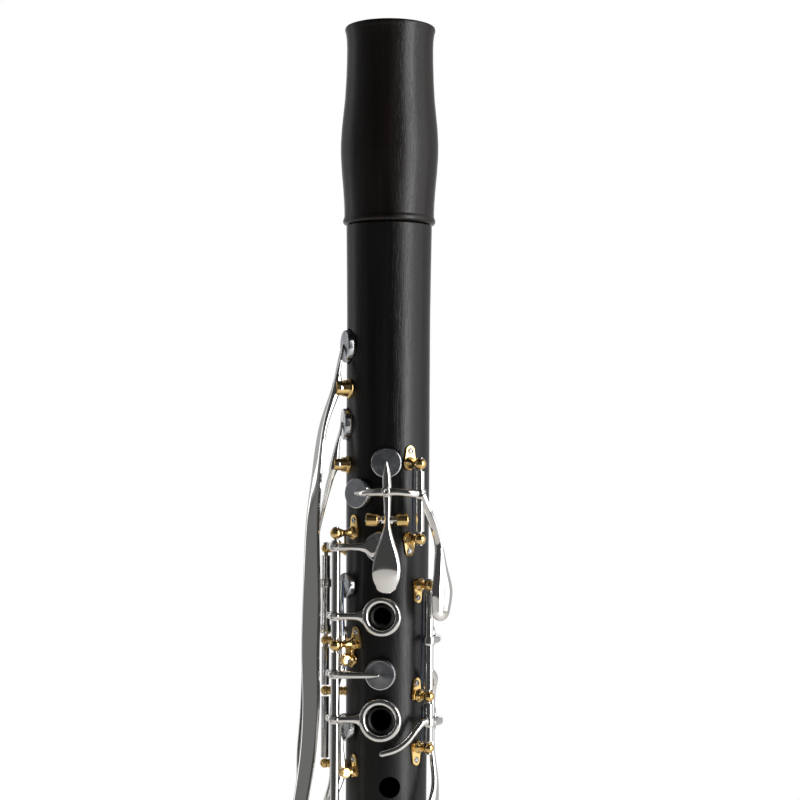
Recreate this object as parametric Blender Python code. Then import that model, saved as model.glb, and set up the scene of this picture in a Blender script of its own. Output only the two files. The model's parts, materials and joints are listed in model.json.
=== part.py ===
"""Boehm-system soprano clarinet, without its mouthpiece, standing on its bell.

The bore lies along +Z and the bell's rim rests on z = 0. The finger holes face -Y, which is the front.
Every place on the instrument is given as (r, deg, z): millimetres from the bore's axis, degrees round
it from the front towards +X, and millimetres above the rim.
"""

import math

import bmesh
import bpy
from mathutils import Matrix, Vector

MM = 0.001

# Heights of the four wooden sections, and the length of the tenons between them.
BELL_TOP = 106.0
LOWER_TOP = 314.0
UPPER_TOP = 526.0
BARREL_TOP = 592.0
TENON = 17.0
CLEAR = 0.3

# Bore and body radii. The upper joint swells a little towards the barrel: (radius, height).
BORE_R = 7.35
BODY_R = 13.9
UPPER_TAPER = ((13.2, 315.0), (13.4, 370.0), (13.75, 440.0), (13.8, 495.0), (14.0, 512.0), (14.2, 525.0))
TENON_R = 10.0
CORK_R = 11.2
SOCKET_R = CORK_R + CLEAR
BELL_TENON_R = 12.2
BELL_CORK_R = 13.3
BELL_SOCKET_R = BELL_CORK_R + CLEAR
MOUTHPIECE_SOCKET_R = 11.2
MOUTHPIECE_SOCKET_DEPTH = 18.0

# Key work: hinge tubes on steel rods, cups with their pads, and posts.
TUBE_R = 1.45
ROD_HOLE_R = 0.9
ROD_R = 0.7
BALL_R = 1.95
STEM_R = 1.05
FOOT_R = 2.3
SEAT_R = 13.2
PAD_THICK = 1.5
CUP_WALL = 0.7

BODY_SIDES = 24
ROUND_SIDES = 10
TUBE_SIDES = 6
POST_SIDES = 6
HOLE_SIDES = 8

GOLD = ("gold_plate", (0.83, 0.58, 0.22), 0.2, 1.0)
SILVER = ("silver_plate", (0.87, 0.86, 0.84), 0.12, 1.0)
WOOD = ("black_wood", (0.02, 0.017, 0.016), 0.35, 0.0)
CORK = ("cork", (0.6, 0.42, 0.25), 0.9, 0.0)
PAD = ("pad_skin", (0.75, 0.68, 0.55), 0.8, 0.0)


# ---------------------------------------------------------------- places and meshes

def radial(deg):
    """Unit vector out of the bore's axis."""
    turn = math.radians(deg)
    return Vector((math.sin(turn), -math.cos(turn), 0.0))


def place(r, deg, z):
    return radial(deg) * r + Vector((0, 0, z))


def wood_r(z):
    """Radius of the wood's outside where posts and straps stand."""
    if z < UPPER_TAPER[0][1]:
        return BODY_R
    for (low_r, low), (high_r, high) in zip(UPPER_TAPER, UPPER_TAPER[1:]):
        if z <= high:
            return low_r + (high_r - low_r) * (z - low) / (high - low)
    return UPPER_TAPER[-1][0]


def to_object(name, points, faces):
    """An object from points in millimetres."""
    mesh = bpy.data.meshes.new(name)
    mesh.from_pydata([Vector(p) * MM for p in points], [], faces)
    obj = bpy.data.objects.new(name, mesh)
    bpy.context.scene.collection.objects.link(obj)
    bm = bmesh.new()
    bm.from_mesh(mesh)
    bmesh.ops.recalc_face_normals(bm, faces=bm.faces)
    bm.to_mesh(mesh)
    bm.free()
    return obj


def stack_rings(rings, closed=False):
    """A solid skinned over rings of points. Its ends are capped, or joined if closed."""
    count = len(rings[0])
    points = [p for ring in rings for p in ring]
    faces = []
    spans = len(rings) if closed else len(rings) - 1
    for i in range(spans):
        a, b = i * count, (i + 1) % len(rings) * count
        for k in range(count):
            n = (k + 1) % count
            faces.append((a + k, a + n, b + n, b + k))
    if not closed:
        last = (len(rings) - 1) * count
        faces.append(tuple(reversed(range(count))))
        faces.append(tuple(range(last, last + count)))
    return to_object("piece", points, faces)


def turned(profile, origin, axis, sides, closed=False):
    """A lathed solid: profile holds (radius, height) along axis. A closed profile has a hole."""
    turn = Vector((0, 0, 1)).rotation_difference(axis)
    rings = []
    for radius, height in profile:
        ring = []
        for k in range(sides):
            angle = 2 * math.pi * k / sides
            flat = Vector((radius * math.cos(angle), radius * math.sin(angle), height))
            ring.append(origin + turn @ flat)
        rings.append(ring)
    return stack_rings(rings, closed)


def rod(start, end, radius, sides=TUBE_SIDES):
    along = end - start
    return turned([(radius, 0), (radius, along.length)], start, along.normalized(), sides)


def smooth(stations, steps):
    """Catmull-Rom points through the stations, which are tuples of numbers."""
    last = len(stations) - 1
    found = []
    for i in range(last):
        before, a, b, after = (stations[min(max(i + k, 0), last)] for k in (-1, 0, 1, 2))
        for step in range(steps):
            t = step / steps
            found.append(tuple(
                0.5 * (2 * q + (r - p) * t + (2 * p - 5 * q + 4 * r - s) * t ** 2
                       + (3 * q - p - 3 * r + s) * t ** 3)
                for p, q, r, s in zip(before, a, b, after)
            ))
    return found + [stations[-1]]


def bar(stations, steps=None, sides=POST_SIDES):
    """A lever, arm or touchpiece. Each station is (r, deg, z, width, thickness, facing): its outer
    face looks towards facing, or straight out from the bore where that is left out."""
    full = [station if len(station) == 6 else (*station, station[1]) for station in stations]
    path = smooth(full, steps or (2 if len(stations) < 4 else 1))
    spots = [place(r, deg, z) for r, deg, z, _, _, _ in path]
    rings = []
    for i, (_, _, _, width, thick, facing) in enumerate(path):
        along = (spots[min(i + 1, len(spots) - 1)] - spots[max(i - 1, 0)]).normalized()
        out = radial(facing)
        out = (out - along * out.dot(along)).normalized()
        side = along.cross(out)
        ring = []
        for k in range(sides):
            angle = 2 * math.pi * (k + 0.5) / sides
            c, s = math.cos(angle), math.sin(angle)
            # A superellipse, which keeps the bar's faces flat and its edges round.
            u = math.copysign(abs(c) ** 0.7, c) * width / 2
            v = math.copysign(abs(s) ** 0.7, s) * thick / 2
            ring.append(spots[i] + side * u + out * v)
        rings.append(ring)
    return stack_rings(rings)


def boolean(obj, others, operation):
    """obj after a Boolean with each other object, which are used up."""
    for other in others:
        modifier = obj.modifiers.new(operation, "BOOLEAN")
        modifier.operation = operation
        modifier.object = other
    bpy.context.view_layer.update()
    graph = bpy.context.evaluated_depsgraph_get()
    mesh = bpy.data.meshes.new_from_object(obj.evaluated_get(graph))
    obj.modifiers.clear()
    obj.data = mesh
    for other in others:
        bpy.data.objects.remove(other)
    return obj


def finish(name, pieces, look, cuts=()):
    """The named sub-part: the union of the pieces, less the cuts."""
    obj = pieces[0]
    if len(pieces) > 1:
        boolean(obj, pieces[1:], "UNION")
    if cuts:
        boolean(obj, list(cuts), "DIFFERENCE")
    label, colour, roughness, metallic = look
    material = bpy.data.materials.new(f"{name}_{label}")
    material.use_nodes = True
    shader = material.node_tree.nodes["Principled BSDF"]
    shader.inputs["Base Color"].default_value = (*colour, 1)
    shader.inputs["Roughness"].default_value = roughness
    shader.inputs["Metallic"].default_value = metallic
    obj.name = obj.data.name = name
    obj.data.materials.clear()
    obj.data.materials.append(material)
    obj.data.shade_smooth()
    obj.data.set_sharp_from_angle(angle=math.radians(35))
    return obj


# ---------------------------------------------------------------- key work

def ball(centre, axis, radius):
    heights = [-0.9, -0.4, 0.4, 0.9]
    profile = [(radius * math.sqrt(1 - h * h), radius * h) for h in heights]
    return turned(profile, centre, axis, TUBE_SIDES)


def post(line, z, ball_r=BALL_R):
    """A turned post: a foot on the wood, a stem, and a ball that holds the rod."""
    reach, deg = line
    base = wood_r(z) + CLEAR
    neck = reach - 0.5 * ball_r
    profile = [(FOOT_R, 0), (FOOT_R, 0.6), (STEM_R, 1.2), (STEM_R, neck - base)]
    stem = turned(profile, place(base, deg, z), radial(deg), 5)
    return [stem, ball(place(reach, deg, z), Vector((0, 0, 1)), ball_r)]


def posts_on_rod(line, heights, ball_r=BALL_R):
    """Posts along one steel rod that runs through the hinge tubes between them."""
    pieces = [rod(place(*line, min(heights)), place(*line, max(heights)), ROD_R)]
    for z in heights:
        pieces += post(line, z, ball_r)
    return pieces


def strap(stations, width=4.0):
    """A plate that follows the wood from one post's foot to the next: stations are (deg, z)."""
    return bar([(wood_r(z) + CLEAR + 0.4, deg, z, width, 0.8) for deg, z in stations], steps=1)


def cup(deg, z, radius, seat=SEAT_R):
    """A shut pad cup, and the cutter for the hollow that faces its tone hole."""
    rim = seat + 0.9
    roof = seat + PAD_THICK + 2 * CLEAR
    top = roof + 0.8
    hollow = radius - CUP_WALL
    base = Vector((0, 0, z))
    shell = turned(
        [(radius, rim), (radius, top - 0.5), (radius - 0.6, top), (0.3, top + 0.15)],
        base, radial(deg), ROUND_SIDES,
    )
    return shell, turned([(hollow, rim - 1), (hollow, roof)], base, radial(deg), ROUND_SIDES)


def pad(name, deg, z, radius, seat=SEAT_R):
    """The pad in a cup, just off its seat when the key is shut."""
    size = radius - CUP_WALL - CLEAR
    low = seat + CLEAR
    profile = [(size, low), (size, low + PAD_THICK)]
    return finish(name, [turned(profile, Vector((0, 0, z)), radial(deg), ROUND_SIDES)], PAD)


def cup_top(seat=SEAT_R):
    return seat + 2 * CLEAR + PAD_THICK + 0.8


def finger_ring(deg, z, outer, inner, low=14.5, high=16.0):
    """A ring round a finger hole's chimney, with its edges taken off."""
    edge = 0.4
    profile = [
        (inner, low), (inner, high - edge), (inner + edge, high), (outer - edge, high),
        (outer, high - edge), (outer, low),
    ]
    return turned(profile, Vector((0, 0, z)), radial(deg), ROUND_SIDES, closed=True)


def key(name, line, span, cups=(), bars=(), rings=()):
    """A key, shut, on a hinge tube along the bore. cups are (deg, z, radius, seat)."""
    pieces = [rod(place(*line, span[0]), place(*line, span[1]), TUBE_R)]
    cuts = [rod(place(*line, span[0] - 2), place(*line, span[1] + 2), ROD_HOLE_R)]
    for spec in cups:
        shell, hollow = cup(*spec)
        pieces.append(shell)
        cuts.append(hollow)
    pieces += [bar(stations) for stations in bars]
    pieces += [finger_ring(*spec) for spec in rings]
    obj = finish(name, pieces, SILVER, cuts)
    return set_origin(obj, place(*line, sum(span) / 2))


def rocker(name, pivot, stations, cup_spec, half=1.6):
    """A key that rocks on a screw across the bore. pivot is the screw's (r, deg, z)."""
    across = radial(pivot[1] + 90)
    middle = place(*pivot)
    shell, hollow = cup(*cup_spec)
    pieces = [rod(middle - across * half, middle + across * half, TUBE_R), shell, bar(stations)]
    hole = rod(middle - across * 8, middle + across * 8, ROD_HOLE_R)
    return set_origin(finish(name, pieces, SILVER, [hollow, hole]), middle)


def set_origin(obj, point):
    """Move the object's origin, and so the axis it turns about, to a point in millimetres."""
    obj.data.transform(Matrix.Translation(-point * MM))
    obj.location = point * MM
    return obj


def swing(obj, line, angle):
    """Turn an object about a hinge along the bore, from shut to its rest."""
    centre = place(*line, 0) * MM - obj.location
    turn = Matrix.Rotation(math.radians(angle), 4, "Z")
    obj.data.transform(Matrix.Translation(centre) @ turn @ Matrix.Translation(-centre))
    return obj


def cross_posts(pivot, half_gap=2.0, head=2.0, head_r=1.7):
    """Two posts with barrel heads, and the screw across the bore between them."""
    reach, deg, z = pivot
    across = radial(deg + 90)
    middle = place(*pivot)
    far = half_gap + head
    inner_r = wood_r(z) + CLEAR
    pieces = [rod(middle - across * far, middle + across * far, ROD_R)]
    for side in (-1, 1):
        start = middle + across * side * half_gap
        end = middle + across * side * far
        pieces.append(rod(start, end, head_r))
        offset = half_gap + head / 2
        # The foot leans out along the body's own radius, so that it stands on the wood.
        lean = math.degrees(math.atan2(offset, reach))
        foot_deg = deg + side * lean
        length = math.hypot(offset, reach) - inner_r
        pieces.append(turned(
            [(1.6, 0), (1.6, 0.5), (STEM_R, 1.2), (STEM_R, length)],
            place(inner_r, foot_deg, z), radial(foot_deg), POST_SIDES,
        ))
    return pieces


def saddle(name, pivot, slot=3.6, radius=2.9):
    """A round post, slotted for a lever, with the screw that the lever rocks on."""
    reach, deg, z = pivot
    across = radial(deg + 90)
    middle = place(*pivot)
    base = wood_r(z) + CLEAR + 0.1
    top = reach + 1.4
    trunk = turned([(radius, 0), (radius, top - base)], place(base, deg, z), radial(deg), ROUND_SIDES)
    floor = reach - 2.4
    gap = box(place((floor + top + 2) / 2, deg, z), (slot, top + 2 - floor, 4 * radius), deg)
    boolean(trunk, [gap], "DIFFERENCE")
    half = radius - 0.15
    screw = rod(middle - across * half, middle + across * half, ROD_R)
    return finish(name, [trunk, screw], GOLD)


def box(centre, size, deg):
    """A block: size is (along the surface, along the radius, along the bore)."""
    side, out, up = radial(deg + 90), radial(deg), Vector((0, 0, 1))
    rings = []
    for v in (-0.5, 0.5):
        rings.append([
            centre + side * u * size[0] + out * w * size[1] + up * v * size[2]
            for u, w in ((-0.5, -0.5), (0.5, -0.5), (0.5, 0.5), (-0.5, 0.5))
        ])
    return stack_rings(rings)


# ---------------------------------------------------------------- the wood

def outline(outer, inner):
    """A turned wall: outer and inner are (radius, z) lists, both from the bottom up."""
    return turned(outer + inner[::-1], Vector(), Vector((0, 0, 1)), BODY_SIDES, closed=True)


def make_bell():
    socket = BELL_TOP - TENON - CLEAR
    outer = [
        (38.2, 0), (39.5, 1.2), (39.3, 4), (35.2, 12), (29.0, 26), (23.6, 45), (20.0, 64),
        (18.2, 82), (18.0, 92), (19.0, 96), (19.0, 104), (18.2, BELL_TOP),
    ]
    inner = [
        (36.0, 0), (34.8, 2.5), (30.6, 12), (24.6, 26), (19.4, 45), (15.4, 64),
        (11.6, socket), (BELL_SOCKET_R, socket), (BELL_SOCKET_R, BELL_TOP),
    ]
    return finish("bell", [outline(outer, inner)], WOOD)


def make_lower_joint():
    base = BELL_TOP - TENON
    socket = LOWER_TOP - TENON - CLEAR
    outer = [
        (BELL_TENON_R, base), (BELL_TENON_R, BELL_TOP + CLEAR), (16.2, BELL_TOP + CLEAR),
        (15.6, 110), (14.2, 115), (BODY_R, 119), (BODY_R, 299), (15.4, 304.5),
        (15.6, LOWER_TOP - 1), (15.1, LOWER_TOP),
    ]
    inner = [
        (10.6, base), (BORE_R + 1.2, 118), (BORE_R, 165), (BORE_R, socket),
        (SOCKET_R, socket), (SOCKET_R, LOWER_TOP),
    ]
    holes = [(0, z, radius) for z, _, _, radius in LOWER_RINGS]
    return drilled("lower_joint", outline(outer, inner), LOWER_CUPS, holes)


def make_upper_joint():
    base = LOWER_TOP - TENON
    outer = [
        (TENON_R, base), (TENON_R, LOWER_TOP + CLEAR), (UPPER_TAPER[0][0] - 0.2, LOWER_TOP + CLEAR),
        *UPPER_TAPER, (UPPER_TAPER[-1][0], UPPER_TOP - CLEAR),
        (TENON_R, UPPER_TOP - CLEAR), (TENON_R, UPPER_TOP + TENON),
    ]
    inner = [(BORE_R, base), (BORE_R, UPPER_TOP + TENON)]
    holes = [(deg, z, radius) for deg, z, _, _, radius in UPPER_RINGS]
    return drilled("upper_joint", outline(outer, inner), UPPER_CUPS, holes + [LH3_HOLE])


def drilled(name, body, seats, holes):
    """The body with a flat seat and a tone hole under each cup, and chimneys round finger holes."""
    cuts = []
    chimneys = []
    for deg, z, radius, seat, hole in seats:
        cuts.append(rod(place(seat, deg, z), place(22, deg, z), radius + 0.9, ROUND_SIDES))
        cuts.append(rod(place(4, deg, z), place(22, deg, z), hole, HOLE_SIDES))
    for deg, z, hole in holes:
        cuts.append(rod(place(4, deg, z), place(22, deg, z), hole, HOLE_SIDES))
        if z != LH3_HOLE[1]:
            profile = [(hole + 0.9, 9.5), (hole + 0.8, CHIMNEY_TOP - 0.4), (hole + 0.4, CHIMNEY_TOP)]
            chimneys.append(turned(profile, Vector((0, 0, z)), radial(deg), ROUND_SIDES))
    return finish(name, [body] + chimneys, WOOD, cuts)


def make_barrel():
    outer = [
        (14.9, UPPER_TOP), (15.35, 526.8), (14.95, 529.0), (15.4, 538.0), (16.2, 547.5),
        (16.2, 553.5), (15.0, 568.0), (14.4, 581.0), (14.45, 587.5), (15.1, 591.2),
        (14.9, BARREL_TOP),
    ]
    low = UPPER_TOP + TENON + 1
    high = BARREL_TOP - MOUTHPIECE_SOCKET_DEPTH
    inner = [
        (SOCKET_R, UPPER_TOP), (SOCKET_R, low), (BORE_R + 0.1, low), (BORE_R + 0.2, high),
        (MOUTHPIECE_SOCKET_R, high), (MOUTHPIECE_SOCKET_R, BARREL_TOP),
    ]
    return finish("barrel", [outline(outer, inner)], WOOD)


def make_cork(name, tenon_r, cork_r, low, high):
    inner = tenon_r + CLEAR
    profile = [(cork_r, low + 0.4), (cork_r, high - 0.4), (cork_r - 0.3, high), (inner, high),
               (inner, low), (cork_r - 0.3, low)]
    ring = turned(profile, Vector(), Vector((0, 0, 1)), BODY_SIDES, closed=True)
    return finish(name, [ring], CORK)


def make_thumb_rest():
    plate = bar([(14.6, 180, 250, 9, 0.8), (14.6, 180, 259, 12, 0.8), (14.6, 180, 279, 9, 0.8)])
    hook = bar([
        (14.6, 180, 264, 11, 1.6), (17.0, 180, 264.3, 12.5, 1.8), (20.5, 180, 265.0, 13, 1.8),
        (24.0, 180, 267.0, 11, 1.6), (25.5, 180, 269.0, 6, 1.2),
    ])
    return finish("thumb_rest", [plate, hook], SILVER)


# ---------------------------------------------------------------- where the keys are

# Hinge lines along the bore, as (r, deg).
STACK_LINE = (21.0, -52)
THUMB_LINE = (20.7, -100)
GSHARP_LINE = (21.0, 30)
SLIVER_LINE = (17.9, 50)
AFLAT_LINE = (19.5, -30)
FSHARP_LINE = (19.5, -92)
F_LINE = (19.5, -114)
E_LINE = (19.5, -136)
LEFT_FSHARP_LINE = (19.5, 150)
LEFT_F_LINE = (19.5, 128)
LEFT_E_LINE = (19.5, 106)

# Screws across the bore, as (r, deg, z).
A_PIVOT = (18.4, 0, 428.9)
REGISTER_PIVOT = (18.6, 180, 450)
SIDE_PIVOTS = ((16.6, -62, 346.7), (16.6, -62, 383.0), (17.7, -71, 446.5), (17.7, -67, 471.5))

CHIMNEY_TOP = 15.6
LH3_HOLE = (5.5, 342.5, 3.45)

# Pad cups as (deg, z, radius, seat, tone hole radius).
A_CUP = (-1.5, 447.1, 5.0, 13.2, 2.6)
GSHARP_CUP = (-40, 437.2, 5.0, 13.2, 2.4)
FIRST_CUP = (-7.5, 420.0, 5.0, 13.2, 2.6)
SECOND_CUP = (-6.5, 379.1, 5.0, 13.2, 2.8)
THUMB_CUP = (-140, 391.0, 4.2, 13.2, 2.2)
CSHARP_CUP = (118, 389.6, 4.6, 13.2, 2.4)
EFLAT_CUP = (98, 363.0, 4.2, 13.2, 2.2)
REGISTER_CUP = (180, 505.0, 4.2, 13.5, 1.6)
SIDE_CUPS = (
    (-62, 361.0, 4.5, 13.2, 2.4), (-62, 407.0, 4.2, 13.2, 2.4), (-79, 459.8, 5.2, 12.4, 2.6),
    (-73, 485.4, 5.4, 12.4, 2.8),
)
UPPER_CUPS = (
    A_CUP, GSHARP_CUP, FIRST_CUP, SECOND_CUP, THUMB_CUP, CSHARP_CUP, EFLAT_CUP, REGISTER_CUP,
    *SIDE_CUPS,
)
LOWER_STACK_CUP = (-24, 278.0, 4.2, 13.2, 2.6)
LOWER_SLIVER_CUP = (92, 254.0, 4.6, 13.2, 2.6)
AFLAT_CUP = (6, 200.0, 6.0, 12.8, 3.9)
FSHARP_CUP = (-58, 180.0, 6.5, 12.6, 4.2)
F_CUP = (-72, 155.0, 7.4, 12.2, 5.0)
E_CUP = (-95, 131.0, 7.8, 12.0, 5.4)
LOWER_CUPS = (LOWER_STACK_CUP, LOWER_SLIVER_CUP, AFLAT_CUP, FSHARP_CUP, F_CUP, E_CUP)

# Finger holes: (deg, z, ring outer radius, ring inner radius, hole radius), and (z, ...) below.
UPPER_RINGS = ((-5.5, 397.6, 6.45, 4.2, 2.9), (-6.5, 364.4, 7.0, 4.7, 3.4), (180, 407.0, 6.5, 4.7, 3.3))
LOWER_RINGS = ((289.0, 6.5, 4.8, 3.5), (267.0, 6.6, 4.9, 3.6), (241.0, 6.8, 5.1, 3.8))

# How far each open-standing key swings from shut to rest, in degrees.
FIRST_OPEN = -5
SECOND_OPEN = -5
THUMB_OPEN = 5
LOWER_OPEN = -5
PINKY_OPEN = -7


# ---------------------------------------------------------------- upper joint keys

def make_register_key():
    top = cup_top(REGISTER_CUP[3])
    reach, deg, z = REGISTER_PIVOT
    stations = [
        (18.0, deg, 417.5, 5.0, 1.2), (18.8, deg, 421, 7.0, 1.6), (19.8, deg, 430, 6.4, 1.8),
        (19.6, deg, 440, 3.2, 2.2), (reach, deg, z, 3.0, 2.8), (19.4, deg, 468, 2.6, 2.2),
        (18.4, deg, 492, 2.4, 2.0), (top + 0.4, deg, 505.5, 1.6, 1.4),
    ]
    return rocker("register_key", REGISTER_PIVOT, stations, REGISTER_CUP[:4])


def make_throat_a_key():
    reach, deg, z = A_PIVOT
    top = cup_top()
    stations = [
        (19.6, deg, 405.5, 4.0, 1.2), (20.2, deg, 408, 7.6, 1.6), (20.4, deg, 413, 9.0, 1.8),
        (20.2, deg, 418.5, 6.4, 1.9), (19.4, deg, 424, 3.4, 2.2), (reach, deg, z, 2.6, 2.6),
        (17.9, deg, 437, 2.6, 2.0), (top + 0.5, deg - 1, 447, 1.0, 1.2),
    ]
    return rocker("throat_a_key", A_PIVOT, stations, A_CUP[:4])


def make_throat_gsharp_key():
    top = cup_top()
    arm = [
        (21.0, 30, 437.2, 2.6, 2.4), (21.9, 14, 437.2, 2.6, 2.0), (21.3, 0, 437.2, 2.8, 1.8),
        (19.4, -20, 437.2, 2.4, 1.8), (top + 0.4, -38, 437.2, 1.2, 1.2),
    ]
    touch = [
        (21.0, 30, 435, 2.4, 2.4), (22.6, 37, 430, 2.6, 2.0), (23.6, 42, 422, 4.0, 1.8),
        (24.2, 47, 413, 6.4, 1.7), (24.2, 48, 406, 8.6, 1.7), (23.8, 48, 398, 7.4, 1.6),
        (23.3, 48, 395, 3.6, 1.2),
    ]
    return key("throat_gsharp_key", GSHARP_LINE, (425.1, 444.6), [GSHARP_CUP[:4]], [arm, touch])


def make_first_ring_key():
    top = cup_top()
    vent = [(21.0, -52, 420, 2.4, 2.2), (20.0, -40, 420, 2.2, 1.8), (top + 0.4, -12, 420, 4.0, 1.2)]
    arm = [(21.0, -52, 397.6, 2.4, 2.2), (19.4, -40, 397.6, 2.2, 1.8), (15.9, -25, 397.6, 4.0, 1.3)]
    ring = UPPER_RINGS[0]
    obj = key("first_ring_key", STACK_LINE, (390.5, 422.0), [FIRST_CUP[:4]], [vent, arm], [ring[:4]])
    return swing(obj, STACK_LINE, FIRST_OPEN)


def make_second_ring_key():
    top = cup_top()
    vent = [(21.0, -52, 378.9, 2.4, 2.2), (19.8, -40, 378.9, 2.2, 1.8), (top + 0.4, -12, 378.9, 1.4, 1.2)]
    arm = [(21.0, -52, 364.4, 2.4, 2.2), (19.4, -40, 364.4, 2.2, 1.8), (15.9, -27, 364.4, 4.0, 1.3)]
    bridge = [
        (21.0, -52, 331.5, 2.6, 2.4), (20.8, -41, 329, 3.0, 1.8), (20.4, -38, 321, 4.0, 1.6),
        (20.4, -38, 309, 4.0, 1.4),
    ]
    ring = UPPER_RINGS[1]
    bars = [vent, arm, bridge]
    obj = key("second_ring_key", STACK_LINE, (328.4, 385.7), [SECOND_CUP[:4]], bars, [ring[:4]])
    return swing(obj, STACK_LINE, SECOND_OPEN)


def make_thumb_ring_key():
    top = cup_top()
    arm = [
        (20.7, -100, 407, 2.6, 2.4), (21.2, -116, 407, 2.4, 2.0), (19.8, -138, 407, 2.4, 1.8),
        (16.0, -160, 407, 4.0, 1.3),
    ]
    vent = [(20.7, -100, 391, 2.4, 2.2), (20.2, -116, 391, 2.2, 1.8), (top + 0.4, -136, 391, 1.4, 1.2)]
    ring = UPPER_RINGS[2]
    obj = key("thumb_ring_key", THUMB_LINE, (390.5, 416.2), [THUMB_CUP[:4]], [arm, vent], [ring[:4]])
    return swing(obj, THUMB_LINE, THUMB_OPEN)


def make_csharp_key():
    top = cup_top()
    arm = [
        (17.9, 50, 389.6, 2.4, 2.4), (18.8, 66, 389.6, 2.4, 2.0), (18.8, 86, 389.6, 2.2, 1.8),
        (top + 0.4, 114, 389.6, 1.6, 1.4),
    ]
    touch = [
        (17.9, 50, 380, 2.4, 2.4), (17.4, 63, 377, 2.6, 1.8), (16.0, 72, 371, 2.4, 1.4),
        (15.9, 72, 356, 2.4, 1.4), (16.4, 70, 350, 2.6, 1.5), (18.0, 63, 343, 3.6, 1.6),
        (19.2, 55, 335, 6.0, 1.6), (19.2, 52, 326, 6.0, 1.4),
    ]
    return key("csharp_key", SLIVER_LINE, (373.9, 405.2), [CSHARP_CUP[:4]], [arm, touch])


def make_eflat_key():
    top = cup_top()
    arm = [
        (17.9, 50, 363, 2.4, 2.2), (18.7, 64, 363, 2.2, 1.6), (18.3, 78, 363, 2.2, 1.6),
        (top + 0.4, 95, 363, 1.4, 1.2),
    ]
    touch = [
        (17.9, 50, 363.4, 2.4, 2.4), (18.2, 40, 363.0, 2.2, 2.2), (17.6, 32, 359, 2.2, 2.0),
        (17.0, 20, 355, 2.2, 2.0), (16.8, 4, 353, 2.2, 2.0), (16.7, -6, 352.4, 2.0, 1.6),
    ]
    return key("eflat_key", SLIVER_LINE, (357.2, 369.4), [EFLAT_CUP[:4]], [arm, touch])


def make_side_keys():
    """The four trill keys. The two long levers turn their flat faces towards the front."""
    tops = [cup_top(spec[3]) + 0.4 for spec in SIDE_CUPS]
    levers = (
        [
            (tops[0], -62, 361, 1.4, 1.2), (16.9, -62, 354, 2.4, 1.8), (16.6, -62, 346.7, 2.6, 2.6),
            (18.6, -63, 340, 3.0, 1.8), (21.4, -65, 334, 4.0, 1.6), (23.2, -67, 327, 6.0, 1.5),
            (23.6, -67, 314, 5.6, 1.4),
        ],
        [
            (tops[1], -62, 407, 1.4, 1.2), (17.0, -62, 399, 2.4, 1.6), (16.6, -62, 383, 2.6, 2.6),
            (17.4, -67, 376, 2.8, 1.6), (18.0, -82, 366, 3.0, 1.5), (18.0, -92, 355, 3.4, 1.5),
            (18.2, -93, 343, 4.4, 1.5), (20.6, -90, 334, 6.0, 1.4), (22.6, -87, 326, 6.4, 1.4),
            (22.8, -86, 314, 5.8, 1.4),
        ],
        [
            (tops[2], -79, 459.8, 1.4, 1.2), (17.2, -76, 453, 2.8, 1.6), (18.5, -71, 446.5, 2.6, 2.6),
            (19.4, -73, 442.5, 2.4, 1.8), (20.4, -80, 437, 4.0, 1.5), (23.0, -89, 424, 4.4, 1.4),
            (25.4, -92, 410, 5.0, 1.4),
            (27.0, -92, 390, 5.0, 1.4), (27.8, -92, 366, 5.4, 1.4), (28.8, -93, 352, 6.4, 1.4),
            (28.8, -93, 336, 5.8, 1.4),
        ],
        [
            (tops[3], -73, 485.4, 1.4, 1.2), (17.4, -71, 478, 3.0, 1.4), (18.5, -67, 471.5, 2.6, 2.6),
            (22.5, -72, 458, 4.4, 1.5, -62), (24.2, -75, 441, 5.6, 1.4, -55), (25.3, -76, 425, 6.6, 1.4, -47),
            (25.4, -76, 402, 8.0, 1.4, -42), (25.7, -76, 385, 8.0, 1.4, -42), (25.3, -77, 368, 7.6, 1.4, -42),
            (26.0, -79, 353, 7.2, 1.4, -44), (28.0, -80, 338, 6.8, 1.4, -46), (29.4, -80, 329, 6.2, 1.4, -46),
        ],
    )
    for i, stations in enumerate(levers):
        rocker(f"side_key_{i + 1}", SIDE_PIVOTS[i], stations, SIDE_CUPS[i][:4], half=1.3)


# ---------------------------------------------------------------- lower joint keys

def make_lower_ring_key():
    top = cup_top()
    bars = [[(21.0, -52, 278, 2.4, 2.2), (19.8, -42, 278, 2.2, 1.8), (top + 0.4, -27, 278, 1.4, 1.2)]]
    rings = []
    for z, outer, inner, _ in LOWER_RINGS:
        bars.append([(21.0, -52, z, 2.4, 2.2), (19.4, -40, z, 2.2, 1.8), (15.9, -21.5, z, 4.0, 1.3)])
        rings.append((0, z, outer, inner))
    bars.append([
        (21.0, -52, 291.5, 2.6, 2.4), (23.2, -42, 295, 3.0, 1.6), (23.0, -38, 304, 4.0, 1.6),
        (22.6, -38, 317, 4.0, 1.4),
    ])
    obj = key("lower_ring_key", STACK_LINE, (230.4, 294.7), [LOWER_STACK_CUP[:4]], bars, rings)
    return swing(obj, STACK_LINE, LOWER_OPEN)


def make_lower_sliver_key():
    top = cup_top()
    arm = [(17.9, 50, 254, 2.4, 2.2), (18.0, 68, 254, 2.2, 1.6), (top + 0.4, 89, 254, 1.4, 1.2)]
    touch = [
        (17.9, 50, 254, 2.4, 2.4), (18.2, 40, 254, 2.2, 2.2), (17.6, 32, 254, 2.2, 2.0),
        (17.0, 20, 254, 2.2, 2.0), (16.8, 4, 254, 2.2, 2.0), (16.7, -8, 254, 2.0, 1.6),
    ]
    return key("lower_sliver_key", SLIVER_LINE, (248.4, 259.6), [LOWER_SLIVER_CUP[:4]], [arm, touch])


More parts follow.
